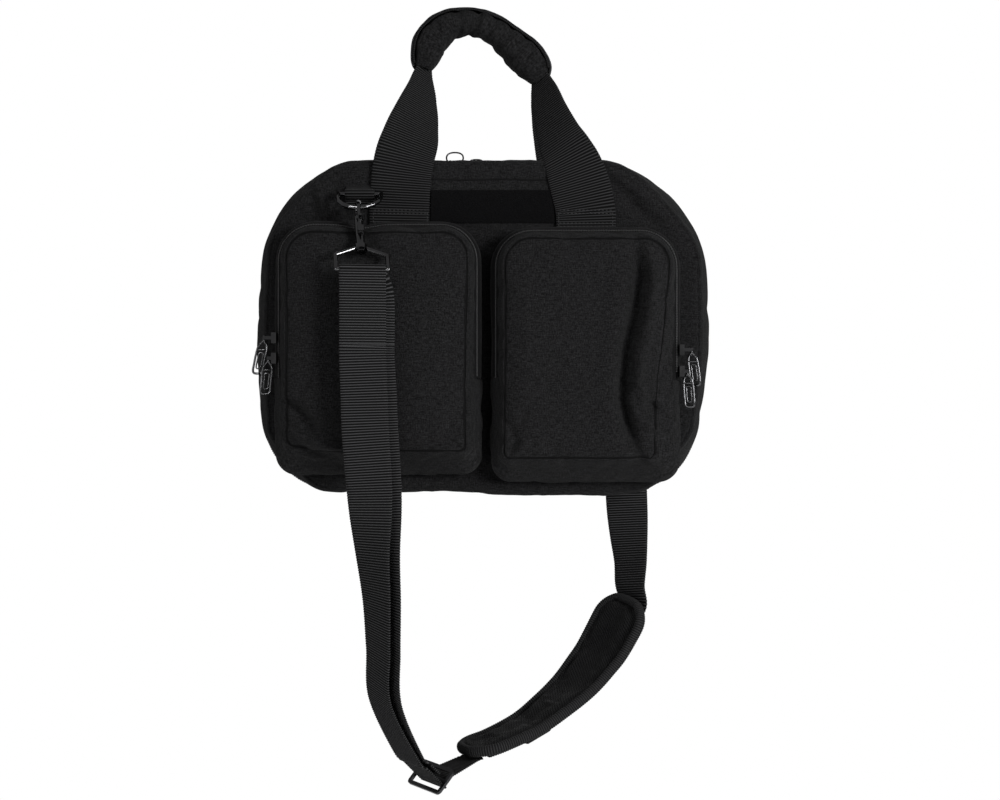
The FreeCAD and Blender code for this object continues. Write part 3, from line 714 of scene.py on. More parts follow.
def build_shell(name, sign):
    """One half of the bag: hem at the zipper, gusset, corner seam and panel, as one skin with a lining."""
    front = sign < 0
    zipper, seam = zip_line(), seam_line(front)
    rows = []
    pins = []

    def add_row(way, y, pin):
        rows.append(np.column_stack([way[:, 0], np.broadcast_to(sign * y, COLUMNS), way[:, 1]]))
        pins.append(np.full(COLUMNS, pin))

    hinge = smooth(122, 112, np.abs(zipper[:, 0])) * (zipper[:, 1] < 1)
    for y, rise in GUSSET:
        t = (y - GUSSET[0][0]) / (GUSSET[-1][0] - GUSSET[0][0])
        way = zipper * (1 - t**1.4) + seam * t**1.4 + edge_out * (rise * (1 - hinge * 0.7))[:, None]
        add_row(way, y, 1.0 if y < 8 else 0.35 if y > 45 else 0.0)
    for inset, y in PIPING:
        add_row(seam - edge_out * inset, y, 0.75)
    start = seam - edge_out * PIPING[-1][0]
    spine_x = np.round(np.clip(start[:, 0], -SPINE, SPINE) / 6) * 6
    spine = np.column_stack([spine_x, np.full(COLUMNS, MIDDLE)])
    for share in np.linspace(0, 1, 25)[1:] ** 1.1:
        way = start * (1 - share) + spine * share
        rise = panel_relief(way[:, 0], way[:, 1], front)
        add_row(way, PIPING[-1][1] + rise, 0.85 if share < 0.3 else 1.0)
    if not front:
        rows = [row[::-1] for row in rows]
    obj, held = skin(name, rows, EDGE_STRIPS, True, None, pins)
    co = coords(obj)
    wrinkle = ripple(co, 0.022, 5 if front else 6) * 0.9
    wrinkle += ripple(co * np.array([1, 2.2, 1]), 0.06, 8) * 0.35
    sideways = np.sign(co[:, 0]) * smooth(120, 170, np.abs(co[:, 0]))
    push = np.column_stack([sideways, co[:, 0] * 0, smooth(200, 270, co[:, 2])])
    co += push * (wrinkle * (np.abs(co[:, 1]) < 46) * (held < 0.9))[:, None]
    set_coords(obj, co)
    puff(obj, held, 0.012, 3.0)
    if front:
        # Whatever is sewn on the panel lies on it, so the cloth can't stand far out there.
        co = coords(obj)
        co[:, 1] -= 0.9 * smooth(47, 50, -co[:, 1]) * creases(co[:, 0], co[:, 2], FRONT_FOLDS)
        excess = np.maximum(-co[:, 1] - 51.0, 0)
        sewn = smooth(205, 222, co[:, 2]) * smooth(128, 116, np.abs(co[:, 0] - 6))
        co[:, 1] += excess * (0.2 + 0.8 * sewn) - 0.15 * np.minimum(excess, 1) * sewn
        set_coords(obj, co)
    dress(obj, BODY_CLOTH, LINING, TAPE)
    for polygon in obj.data.polygons:
        c = polygon.center / MM
        if abs(c.y) < TAPE_HALF and not (c.z < 4 and abs(c.x) < 118):
            polygon.material_index = 2
    return give_body(obj, 3.2, 1, 1)


for side, sign, body in (("front", -1, FRONT), ("rear", 1, REAR)):
    shell = build_shell(side + "_shell", sign)
    settle(shell, f"{side}_panel {side}_gusset {side}_foam_panel", body)


# ------------------------------------------------------------------ main zipper and hinge
def zip_run(line, normals, x, z):
    """The points of an outline in order from the lower end on the left, round the top, to the right."""
    angle = np.arctan2(line[:, 1] - z, line[:, 0] - x)
    order = np.argsort(-np.mod(angle + math.pi / 2, 2 * math.pi))
    return line[order], normals[order]


HINGE_LEVEL = 2.5
run_line, run_out = zip_run(zip_line(), edge_out, 0, MIDDLE)
above = run_line[:, 1] >= HINGE_LEVEL
run_line, run_out = run_line[above], run_out[above]
for side, body, lead, offset in (("front", FRONT, -2.9, 0.0), ("rear", REAR, 2.9, 0.5)):
    lag = math.copysign(0.45, -lead)
    coil = zip_teeth("main_coil_" + side, run_line + run_out * 0.9, run_out, lead, lag, offset)
    dress(coil, COIL)
    settle(coil, "main_zip_" + side, body)

rows = []
for y in np.linspace(-9, 9, 13):
    x = np.linspace(-117, 117, 60)
    z = -0.2 - 1.2 * math.cos(y / 9 * math.pi / 2) + 0.15 * np.sin(x * 0.31 + y)
    rows.append(np.column_stack([x, np.full(60, y), z]))
hinge, _ = skin("base_hinge", rows, 12, False)
dress(hinge, BODY_CLOTH)
settle(give_body(hinge, 0.9), "base_hinge_strip", FRONT, REAR, (0, -6, 0), (0, 6, 0))

for side in ("left", "right"):
    low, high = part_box(side + "_zip_end_tab")
    middle, half = (low + high) / 2 / MM, (high - low) / 2 / MM
    rows = []
    for x in np.linspace(-half.x, half.x, 15):
        y = np.linspace(-half.y - 1, half.y + 1, 9)
        z = -1.9 + 0.7 * (np.abs(y) / half.y) ** 2 + 0.25 * (abs(x) / half.x) ** 4
        z += 0.12 * np.sin(x * 1.3 + y)
        rows.append(np.column_stack([np.full(9, middle.x + x), middle.y + y, z]))
    tab, _ = skin(side + "_zip_tab", rows, 14, False)
    dress(tab, SEAM_CLOTH)
    settle(give_body(tab, 0.8), side + "_zip_end_tab", FRONT)
    corners = [(middle.x + ax * half.x * 0.8, middle.y + ay * half.y * 0.75, -2.5)
               for ax, ay in ((-1, -1), (1, -1), (1, 1), (-1, 1), (-1, -1), (1, 1))]
    sewn = list(zip(corners, corners[1:])) + [(corners[3], corners[1])]
    cross = stitch_rows(side + "_zip_tab_stitches", sewn, (0, 0, -1), 2.2, 0.7, 0.6, 0.4)
    dress(cross, THREAD)
    settle(cross, "", FRONT)


# ------------------------------------------------------------------ front pockets
ZIP_END = 94.6
ZIP_DEPTH = 75.75
# Strips of a pocket from its foot on the panel to its face: (inset from the outline, distance from y = 0).
POCKET_BELT = (
    (0.0, 50.2), (-0.3, 55), (-0.5, 60), (-0.6, 65), (-0.2, 69.5), (0.4, 71.2), (1.9, 73.4),
    (3.4, ZIP_DEPTH), (4.8, 78.0), (5.4, 80.2), (5.6, 81.6), (6.0, 84.4), (7.4, 87.0), (9.2, 88.9),
    (10.6, 89.3), (11.3, 88.0), (12.5, 89.6), (15.5, 91.0),
)
POCKET_FACE = 91.2
ZIP_ROW = 7
SEAM_ROW = 15
POCKET_COLUMNS = 168
LEFT_FOLDS = (
    (((-178, 76), (-160, 72), (-146, 58), (-138, 46)), 3.4, -5.2),
    (((-176, 60), (-166, 66), (-156, 60)), 3.0, 3.2),
    (((-173, 48), (-150, 43), (-122, 37), (-90, 35)), 3.6, 3.4),
    (((-170, 40), (-148, 34), (-124, 29)), 3.6, -3.2),
    (((-152, 78), (-140, 64), (-132, 60)), 3.0, 2.2),
    (((-30, 205), (-24, 190)), 2.4, -1.2),
    (((-20, 66), (-30, 54), (-28, 42)), 3.0, -1.6),
    (((-50, 42), (-36, 46), (-22, 40)), 2.6, -1.6),
    (((-160, 212), (-140, 215), (-80, 214), (-40, 210)), 5.0, 1.0),
)
RIGHT_FOLDS = (
    (((124, 214), (129, 180), (124, 147), (117, 120), (114, 78), (121, 50), (131, 26)), 4.8, -8.5),
    (((138, 205), (141, 178), (137, 148), (131, 120), (128, 92), (134, 66)), 5.0, 4.2),
    (((108, 190), (110, 150), (104, 110), (101, 70), (108, 42)), 9.0, 1.6),
    (((134, 77), (146, 66), (156, 55)), 2.8, -5.0),
    (((130, 60), (142, 50), (158, 44)), 4.0, 2.6),
    (((29, 53), (35, 73)), 2.4, -2.0),
    (((20, 60), (26, 44), (22, 32)), 3.0, -2.2),
    (((34, 44), (28, 34)), 2.4, 1.6),
    (((20, 205), (30, 196)), 2.4, -1.0),
)


def build_pocket(side, x0, x1, z0, z1, folds, seed, lean):
    """A boxed pocket: an upper gusset behind the zipper, a front pan that opens with it, and two coils."""
    outline = evenly(rounded_rectangle(x0, x1, z0, z1, (17, 17, 34, 34)), POCKET_COLUMNS)
    out = outward(outline)
    rows = []
    pins = []
    for index, (inset, y) in enumerate(POCKET_BELT):
        way = outline - out * inset
        share = np.clip((way[:, 0] - x0) / (x1 - x0), 0, 1)
        way[:, 0] += lean * smooth(76, 91, y) * smooth(200, 50, way[:, 1]) * share
        way[:, 1] += 9.5 * smooth(58, 90, y) * smooth(z0 + 66, z0 + 12, way[:, 1])
        rows.append(np.column_stack([way[:, 0], np.full(POCKET_COLUMNS, -y), way[:, 1]]))
        held = y < 51 or abs(index - ZIP_ROW) < 2
        sewn = index in (SEAM_ROW - 1, SEAM_ROW)
        pins.append(np.full(POCKET_COLUMNS, 1.0 if held else 0.35 if sewn else 0.0))
    start = rows[-1][:, [0, 2]]
    cx, cz = (x0 + x1) / 2, (z0 + z1) / 2
    spine_z = np.round(np.clip(start[:, 1], z0 + 74, z1 - 74) / 5) * 5
    spine = np.column_stack([np.full(POCKET_COLUMNS, cx), spine_z])
    for share in np.linspace(0, 1, 19)[1:]:
        way = start * (1 - share) + spine * share
        rows.append(np.column_stack([way[:, 0], np.full(POCKET_COLUMNS, -POCKET_FACE), way[:, 1]]))
        pins.append(np.zeros(POCKET_COLUMNS))
    rows = np.array(rows)
    pins = np.array(pins)
    x, z = rows[:, :, 0], rows[:, :, 2]
    across = np.clip((x - x0) / (x1 - x0), 0, 1)
    up = np.clip((z - z0) / (z1 - z0), 0, 1)
    dome = (np.sin(np.pi * across) * np.sin(np.pi * up)) ** 0.6
    face = smooth(80, 91, -rows[:, :, 1])
    flat = np.column_stack([x.ravel(), z.ravel(), x.ravel() * 0])
    depth = creases(flat[:, 0], flat[:, 1], folds).reshape(x.shape)
    small = ripple(flat, 0.03, seed).reshape(x.shape)
    fine = ripple(flat, 0.08, seed + 4).reshape(x.shape)
    rows[:, :, 1] -= face * (3.6 * dome + depth + 1.0 * small + 0.35 * fine)
    if side == "left":
        # The lower outer corner is crumpled, and the snap hook rests on the top edge.
        corner = bell(x, -172, 24) * bell(z, 46, 26)
        rows[:, :, 1] += face * 8.0 * corner
        rows[:, :, 2] += smooth(60, 90, -rows[:, :, 1]) * 7.0 * corner
        dent = bell(x, -104, 15) * smooth(178, 214, z)
        rows[:, :, 1] += face * 4.5 * dent
        rows[:, :, 2] -= 3.5 * dent * smooth(215, 226, z)
    else:
        rows[:, :, 1] += face * 5.0 * bell(x, 158, 14) * bell(z, 48, 24)
    gusset = smooth(52, 60, -rows[:, :, 1]) * (1 - smooth(82, 88, -rows[:, :, 1])) * (pins < 0.9)
    waves = ripple(rows.reshape(-1, 3), 0.028, seed + 9).reshape(x.shape) * 1.2 * gusset
    push_x = np.sign(x - cx) * smooth(0.8, 1, np.abs(across * 2 - 1))
    push_z = np.sign(z - cz) * smooth(0.8, 1, np.abs(up * 2 - 1))
    rows[:, :, 0] += push_x * waves
    rows[:, :, 2] += push_z * waves * 0.6

    def behind(middle, index):
        return index < ZIP_ROW and middle[2] > ZIP_END

    ring, _ = skin(side + "_pocket_gusset", rows[:ZIP_ROW + 1], ZIP_ROW, True, behind)
    strips = len(POCKET_BELT) - 3
    pan, pan_pins = skin(side + "_pocket_front", rows, strips, True, lambda m, i: not behind(m, i), pins)
    seam = (rows[SEAM_ROW] + np.roll(rows[SEAM_ROW], -1, axis=0)) / 2 * MM
    seam_faces = [polygon.index for polygon in pan.data.polygons
                  if np.linalg.norm(seam - np.array(polygon.center), axis=1).min() < 1.25 * MM]
    puff(pan, pan_pins, 0.022, 3.5)
    # The swelling softens the folds, so they are pressed in once more.
    co = coords(pan)
    co[:, 1] -= 0.75 * smooth(80, 89, -co[:, 1]) * creases(co[:, 0], co[:, 2], folds)
    set_coords(pan, co)
    for obj, dark in ((ring, []), (pan, seam_faces)):
        dress(obj, BODY_CLOTH, LINING, TAPE, SEAM_DARK)
        for index in dark:
            obj.data.polygons[index].material_index = 3
        for polygon in obj.data.polygons:
            c = polygon.center / MM
            at_edge = abs(c.x - cx) > (x1 - x0) / 2 - 34 or c.z > z1 - 34
            if 71.9 < -c.y < 79.3 and c.z > ZIP_END and at_edge:
                polygon.material_index = 2
        give_body(obj, 1.3, 1)
    # The zipper's two coils follow the gusset above the level of its ends.
    line, normal = zip_run(rows[ZIP_ROW][:, [0, 2]], out, cx, ZIP_END)
    above = line[:, 1] > ZIP_END
    coils = []
    for part, way, offset in (("body", 1, 0.0), ("front", -1, 0.5)):
        lead, lag = -ZIP_DEPTH + way * 1.9, -ZIP_DEPTH - way * 0.35
        coils.append(zip_teeth(f"{side}_coil_{part}", line[above], normal[above], lead, lag, offset, 1.2))
        dress(coils[-1], COIL)
    return ring, pan, *coils


POCKETS = {
    "left": (-176.0, -3.0, 14.0, 227.5, LEFT_FOLDS, 11, -2.0),
    "right": (6.0, 164.5, 8.0, 222.5, RIGHT_FOLDS, 23, -14.0),
}
for side, shape in POCKETS.items():
    ring, pan, body_coil, flap_coil = build_pocket(side, *shape)
    settle(ring, side + "_pocket_body", FRONT)
    settle(body_coil, side + "_pocket_zip_body", FRONT)
    for obj, node in ((pan, "_pocket_flap"), (flap_coil, "_pocket_zip_flap")):
        settle(obj, side + node, FRONT, side + "_pocket_front", (0, 0, 84), (0, 0, 104))


# ------------------------------------------------------------------ seam of the top band and loop panel
seam = [(x, -50.75, 265.2 + 0.3 * math.sin(x / 9)) for x in range(-46, 61, 4)]
band_seam = bent_bar("top_band_seam", seam, 0.55, False, 8, 120)
dress(band_seam, SEAM_DARK)
settle(band_seam, "", FRONT)

low, high = (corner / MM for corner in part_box("loop_panel"))
nx, nz = 190, 62
xs = np.linspace(low.x - 5.8, high.x + 5.8, nx)
rim_x = np.minimum(1, np.minimum(np.arange(nx), nx - 1 - np.arange(nx)) / 2)
rng = np.random.default_rng(7)
rows = []
for j, z in enumerate(np.linspace(low.z + 0.4, high.z - 0.4, nz)):
    tuft = rng.random(nx) ** 1.5
    x = xs + rng.normal(0, 0.10, nx)
    rim = rim_x * min(1.0, min(j, nz - 1 - j) / 2)
    rows.append(np.column_stack([x, -51.3 - rim * (0.5 + tuft), z + rng.normal(0, 0.10, nx)]))
pile, _ = skin("loop_pile_panel", rows, 0, False)
dress(pile, PILE)
pile.modifiers.new("back", "SOLIDIFY").thickness = 0.8 * MM
settle(bake(pile), "loop_panel", FRONT)

# ------------------------------------------------------------------ handles
STRAP_WIDE = 38.1
HANDLE_WIDE = 50.8
# Stations up each leg: x, y, z, the turn of the webbing's width, and its share of the full width.
LEFT_LEG = [
    (-73, -52.9, 222, 0, 1), (-72.5, -52.9, 245, 0, 1), (-71, -53.3, 268, 0, 1), (-68, -53.4, 285, 5, 1),
    (-63.6, -49, 300, 18, 0.97), (-59.8, -40, 316, 33, 0.90), (-57, -31, 331, 38, 0.77),
    (-55, -20, 348, 43, 0.57), (-54, -11, 362, 47, 0.42), (-51.5, -6, 374, 60, 0.32),
    (-48.5, -5, 383, 70, 0.28),
]
RIGHT_LEG = [
    (86.4, -52.9, 222, 0, 1), (85.6, -52.9, 240, 0, 1), (81, -53.4, 260, 1, 1), (75.6, -54.2, 276, 5, 0.95),
    (70, -53.4, 288, 14, 0.88), (63.6, -47.5, 301, 30, 0.81), (56.6, -36, 322, 40, 0.70),
    (52.8, -26, 338, 44, 0.60), (49.6, -16, 351, 46, 0.48), (46.6, -8, 362, 54, 0.37),
    (43.5, -5, 372, 64, 0.30),
]
# Inside the grip the webbing runs on, gathered narrow: x and z of its middle.
GATHERED = [(-36.5, 399.5), (-22.5, 404.5), (-8, 404.2), (7, 397.5), (21, 386.5), (34, 377)]
GATHERED_SHARE = 0.28


def handle_stations(leg, right, rear):
    """Stations of one leg; the rear handle mirrors the front one and its feet are sewn lower."""
    stations = []
    for x, y, z, turn, share in leg:
        if rear:
            x -= 0 if right else 7 * float(smooth(345, 295, z))
            z -= 52 * (1 - float(smooth(245, 285, z)))
            y = -y
        angle = math.radians(turn) * (1 if rear == right else -1)
        flip = -1 if right else 1
        stations.append((x, y, z, flip * math.cos(angle), flip * math.sin(angle), 0, share))
    return stations[::-1] if right else stations


for body, rear, name in ((FRONT, False, "front"), (REAR, True, "rear")):
    stations = handle_stations(LEFT_LEG, False, rear)
    depth, lift = (3.0, 1.8) if rear else (-7.0, -1.8)
    for x, z in GATHERED:
        stations.append((x, depth, z + lift, 0, -1 if rear else 1, 0, GATHERED_SHARE))
    stations += handle_stations(RIGHT_LEG, True, rear)
    handle = ribbon(name + "_handle_webbing", stations, HANDLE_WIDE, 2.0, relief=0.2)
    dress(handle, WEBBING_FINE)
    settle(handle, name + "_handle", body)
    sign = 1 if rear else -1
    foot = 172.5 if rear else 224.5
    half = HANDLE_WIDE / 2 - 2.4
    sewn = []
    for x in (-79 if rear else -72, 86):
        ends = [((x - half, foot + up), (x + half, foot + up)) for up in (0.5, 3.2, 11.5, 14.2)]
        ends += [((x + way * half, foot), (x + way * half, foot + 14)) for way in (-1, 1)]
        sewn += [((ax, sign * 54.15, az), (bx, sign * 54.15, bz)) for (ax, az), (bx, bz) in ends]
    stitches = stitch_rows(name + "_handle_stitches", sewn, (0, sign, 0), 2.4, 0.9, 0.65, 0.35)
    dress(stitches, THREAD)
    settle(stitches, "", body)

# ------------------------------------------------------------------ hand grip
# Stations along the grip: x, z of its middle, its thickness, and half its depth.
GRIP = [
    (-55.2, 368, 11, 10), (-54, 372, 17.5, 13), (-51.4, 380, 22.5, 15.5), (-47.6, 390.6, 26, 17),
    (-36.4, 403.2, 23.5, 17), (-22.3, 408.2, 19.5, 16.5), (-7.7, 408, 19.5, 16.5), (7.4, 401.4, 21, 17),
    (22, 389.8, 26, 17), (35.8, 377, 29.5, 17), (44, 367.2, 24.5, 16), (47.3, 361.2, 18.5, 13),
    (49.6, 358, 11, 10),
]
GRIP_BACK = -5.0
# Puckers across the grip: (share of its length, depth).
PUCKERS = ((0.22, 1.6), (0.36, 2.2), (0.47, 3.6), (0.56, 1.8), (0.66, 2.4), (0.76, 2.0), (0.88, 1.4))


def build_grip(name, start, stop, count, inflate, seed, pucker):
    """A puckered sheet round part of the grip, its rows of points and their outward directions."""
    path, _ = curve_through([(x, 0, z, t, d) for x, z, t, d in GRIP], 56)
    along = tangents(path[:, [0, 2]])
    angles = [math.radians(turn) for turn in np.linspace(start, stop, count)]
    around = np.array([(squared(math.cos(a), 0.62), squared(math.sin(a), 0.62)) for a in angles])
    r = (path[:, 3:4] / 2 + inflate) * around[:, 0]
    y = GRIP_BACK + (path[:, 4:5] + inflate) * around[:, 1]
    rows = np.stack([path[:, :1] - along[:, 1:] * r, y, path[:, 2:3] + along[:, :1] * r], axis=-1)
    share = np.linspace(0, 1, len(rows))[:, None]
    out = unit(rows - rows.mean(1, keepdims=True))
    flat = rows.reshape(-1, 3)
    fx, fy, fz = flat.T
    skewed = np.column_stack([fx + 0.9 * fz, fy * 0.6, fz * 0.3 - fx * 0.3])
    folds = ripple(skewed, 0.075, seed).reshape(rows.shape[:2])
    small = ripple(flat, 0.16, seed + 2).reshape(rows.shape[:2])
    fade = smooth(0, 0.08, share) * smooth(1, 0.92, share)
    pinch = 0
    for at, deep in PUCKERS:
        slanted = share + 0.0022 * (rows[:, :, 1] + 12) - at
        pinch = pinch - deep * bell(slanted, 0, 0.014) + 0.5 * deep * bell(slanted, 0.03, 0.02)
    rows = rows + out * ((2.0 * folds + 0.7 * small + pinch * pucker) * (0.35 + 0.65 * fade))[:, :, None]
    obj, _ = skin(name, rows, len(rows) - 1, False)
    return obj, rows, out


FLAP = "grip_closing_flap"
wrap, _, _ = build_grip("grip_wrap_cloth", -18, -252, 60, 0.0, 31, 1.0)
flap, flap_rows, flap_out = build_grip("grip_flap_cloth", -34, 106, 44, 1.5, 47, 0.25)
for obj, node, body in ((wrap, "grip_wrap", FRONT), (flap, "grip_flap", FLAP)):
    dress(obj, BODY_CLOTH, LINING)
    settle(give_body(obj, 1.8, 1), node, body)

# Ribbed tape is folded over the flap's long edge.
edge_points, inner_points = flap_rows[:, 0], flap_rows[:, 3]
middles = edge_points * 0.6 + inner_points * 0.4 + flap_out[:, 0] * 0.5
stations = np.hstack([middles, edge_points - inner_points])[1:-1:2]
edging = ribbon("grip_flap_edging", stations, 6.5, 1.3, rib=1.5, relief=0.12)
dress(edging, BINDING)
settle(edging, "", FLAP)

# ------------------------------------------------------------------ tabs of the D-rings
BAR_Y = 58.0
BAR_Z = 252.0
BAR_REACH = 3.4
for side, sign, body in (("front", -1, FRONT), ("rear", 1, REAR)):
    low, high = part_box(side + "_d_ring_tab")
    section = [(51.2, 7.5), (51.8, 5.6), (54.2, 4.2)]
    for turn in range(70, -121, -19):
        a = math.radians(turn)
        section.append((BAR_Y + BAR_REACH * math.cos(a), BAR_REACH * math.sin(a)))
    section += [(53.6, -4.6), (52.0, -8), (51.6, -12)]
    stations = [((low.x + high.x) / 2 / MM, sign * y, BAR_Z + up, 1, 0, 0) for y, up in section]
    tab = ribbon(side + "_ring_tab", stations, 25.0, 1.4, rib=1.8, relief=0.1)
    dress(tab, WEBBING_FINE)
    settle(tab, side + "_d_ring_tab", body)

# ------------------------------------------------------------------ the long strap
STRAP_THICK = 1.7
PLY = 1.8
SLIP = 7.5


def strap(name, stations, nodes, body, *onward):
    """A piece of the shoulder strap's webbing."""
    piece = ribbon(name, stations, STRAP_WIDE, STRAP_THICK)
    dress(piece, WEBBING)
    settle(piece, nodes, body, *onward)


def bar_of(node):
    """The bar that webbing is looped over, near the top of a strap end's box."""
    low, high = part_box(node)
    return Vector(((low.x + high.x) / 2, (low.y + high.y) / 2, high.z)) / MM - Vector((0, 0, 3.3))


def strap_point(x, y, z, turn, slip=0.0):
    """One station of webbing: its width turns from X towards -Y, and slip moves it along its own width."""
    way = (math.cos(math.radians(turn)), -math.sin(math.radians(turn)))
    return (x + way[0] * slip, y + way[1] * slip, z, way[0], way[1], 0)


def loop_over(bar, level, low_z, back_z, slip):
    """Webbing that goes up in front of a bar and down behind it; level is the bar's direction."""
    reach = 1.8 + PLY / 2 + 0.25
    face = Vector((level.y, -level.x, 0))
    places = []
    for z in (low_z, low_z + 12, low_z + 26, (low_z + bar.z) / 2 + 8, bar.z - 14, bar.z - 7):
        places.append((bar + face * (reach * 0.75), z))
    for turn in range(-30, 211, 24):
        a = math.radians(turn)
        places.append((bar + face * (reach * math.cos(a)), bar.z + reach * math.sin(a)))
    for z in (bar.z - 7, bar.z - 16, (back_z + bar.z) / 2 + 4, back_z + 12, back_z):
        share = float(smooth(bar.z - 4, bar.z - 22, z))
        places.append((bar - face * (reach * 0.75 + 1.0 * share) + level * (slip * share), z))
    return [(p.x, p.y, z, level.x, level.y, 0) for p, z in places]


joint = {j["name"]: j for j in frame["joints"]}
fall_axis = Vector(joint["front_swivel"]["axis"])
level = Vector((-fall_axis.y, fall_axis.x, 0)).normalized()
front_face = Vector((level.y, -level.x, 0))
yaw = math.degrees(math.atan2(level.y, level.x))
bar = bar_of("front_strap_end")
strap("front_strap_upper", loop_over(bar, level, 121.0, 121.0, SLIP), "front_strap_end",
      "front_strap", "front_ring", (0, 0, 178), (0, 0, 124))

slider_low, slider_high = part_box("strap_slider")
slider_at = (slider_low + slider_high) / 2 / MM
along = Vector((32, 25, -39)).normalized()
buckle_side = Vector((0.69, -0.72, -0.15))
buckle_side = (buckle_side - along * buckle_side.dot(along)).normalized()
buckle_face = along.cross(buckle_side)
# The strap's fall from the frame to the slider: x, y, z and turn.
STRAP_FALL = ((-97.6, -116.4, 80, -5), (-96.5, -116, 50, -2), (-93.0, -114, 4, 10), (-89.5, -111, -45, 38),
              (-86, -106, -87, 50), (-85, -98, -129, 56), (-84, -87, -173, 58))
for layer, gap, base_gap, slip, turn_more, backs in (
    ("outer", 1.0, 2.2, 0.0, 0.0, (34.0, 20.0, 6.0, -6.0)),
    ("inner", -1.0, -3.2, SLIP, 2.0, (34.0, 20.0, 8.0)),
):
    base = bar + front_face * base_gap
    stations = [strap_point(base.x, base.y, z, -yaw, slip) for z in (122.5, 112)]
    for x, y, z, turn in STRAP_FALL:
        share = float(smooth(60, -60, z))
        a = math.radians(turn)
        away = Vector((-math.sin(a), -math.cos(a), 0))
        p = Vector((x, y, z)) + away * (base_gap + (0 if z > 0 else gap))
        stations.append(strap_point(p.x, p.y, z, turn + turn_more * share, slip * (1 - 0.25 * share)))
    for back in backs:
        stations.append((*(slider_at - along * back + buckle_face * (gap * 2.4)), *buckle_side))
    strap(f"front_strap_{layer}", stations, f"strap_{layer}_layer",
          "front_ring", FRONT, (0, 0, 120), (0, 0, -150))

# ------------------------------------------------------------------ rear webbing
bar = bar_of("rear_strap_end")
strap("rear_strap_upper", loop_over(bar, Vector((1, 0, 0)), 99.0, 60.0, 1.5), "rear_strap_end",
      "rear_strap", "rear_ring", (0, 0, 158), (0, 0, 103))
rx, ry = bar.x, bar.y - 1.6
stations = [strap_point(rx + dx, ry + dy, z, turn)
            for dx, dy, z, turn in ((0, 0, 100, 0), (0, 0, 70, 0), (0.5, 0, 30, 0), (1, -0.3, -1, 4))]
strap("rear_strap_middle", stations, "", "rear_ring", REAR, (0, 0, 98), (0, 0, 2))
stations = [strap_point(rx + dx, ry + dy, z, turn) for dx, dy, z, turn in (
    (1, -0.3, 1, 4), (1.8, -0.8, -20, 12), (3.4, -2, -48, 30), (4.8, -4, -72, 44), (4, -8, -92, 50))]
# The end runs on behind the shoulder pad.
stations += [strap_point(134, 51.5, -111, 52), strap_point(122.5, 48.8, -130, 52)]
strap("rear_strap_lower", stations, "strap_rear_lower", REAR, FRONT, (0, 0, 0), (0, 0, -105))

# ------------------------------------------------------------------ shoulder pad
# Places along the pad: x, y, z and the turn of its width.
PAD = [(129, 47, -108, 52), (108, 41, -146, 54), (95, 36, -163.5, 56), (79, 28, -181, 60),
       (58, 17, -197.5, 66), (37, 6, -211, 72), (9, -8, -222, 80), (-15, -18, -228, 84)]
PAD_WIDE = 65.0
PAD_THICK = 8.5
PAD_ROWS = 90
PAD_TURNS = 44
path, pad_length = curve_through([strap_point(*place)[:5] for place in PAD], PAD_ROWS)
centre = path[:, :3]
tangent = tangents(centre)
side, normal = square_up(tangent, np.column_stack([path[:, 3:5], np.zeros(PAD_ROWS)]))
run = np.linspace(0, pad_length, PAD_ROWS)
end_gap = np.minimum(run, pad_length - run)
half = (PAD_WIDE / 2 - 2.5) * (1 - np.clip(1 - end_gap / 22, 0, 1) ** 2.6 * 0.45)
turns = np.linspace(0, 2 * math.pi, PAD_TURNS, endpoint=False)
rows = []
pins = []
for i in range(PAD_ROWS):
    thick = PAD_THICK / 2 * (float(smooth(0, 6, end_gap[i])) * 0.75 + 0.25)
    for turn in turns:
        a, h = squared(math.cos(turn), 0.75), squared(math.sin(turn), 0.8)
        rows.append(centre[i] + side[i] * (a * half[i]) + normal[i] * (h * thick))
        held = abs(h) < 0.35 or end_gap[i] < 2
        pins.append(1.0 if held else 0.9 if 0.72 < abs(a) < 0.80 else 0.0)
rows = np.array(rows).reshape(PAD_ROWS, PAD_TURNS, 3)
pad, held = skin("pad_face", rows, PAD_ROWS - 1, True, None, pins)
puff(pad, held, 0.05, 2.2)
# A sewn channel runs inside the rim, and the padding is a little lumpy.
co = coords(pad).reshape(PAD_ROWS, PAD_TURNS, 3)
for i in range(PAD_ROWS):
    for k, turn in enumerate(turns):
        if abs(math.sin(turn)) > 0.2:
            across = abs(math.cos(turn)) ** 0.75 * half[i]
            groove = 1.3 * bell(across, half[i] - 8.0, 1.1)
            lump = 0.5 * noise.noise(Vector(co[i, k]) * 0.06)
            co[i, k] += normal[i] * math.copysign(1, math.sin(turn)) * (lump - groove)
set_coords(pad, co.reshape(-1, 3))
dress(pad, NET)
settle(give_body(pad, 0), "shoulder_pad", FRONT)

def rim_side(way):
    """Stations of the binding along one long side of the pad."""
    return [(*(centre[i] + side[i] * way * (half[i] + 0.4)), *normal[i]) for i in range(PAD_ROWS)]


def rim_end(i, way):
    """Stations of the binding round one end of the pad."""
    stations = []
    for k in range(1, 6):
        a = k / 6 * math.pi
        around = tangent[i] * (2.5 * math.sin(a)) + side[i] * (half[i] * math.cos(a))
        stations.append((*(centre[i] + around * way), *normal[i]))
    return stations


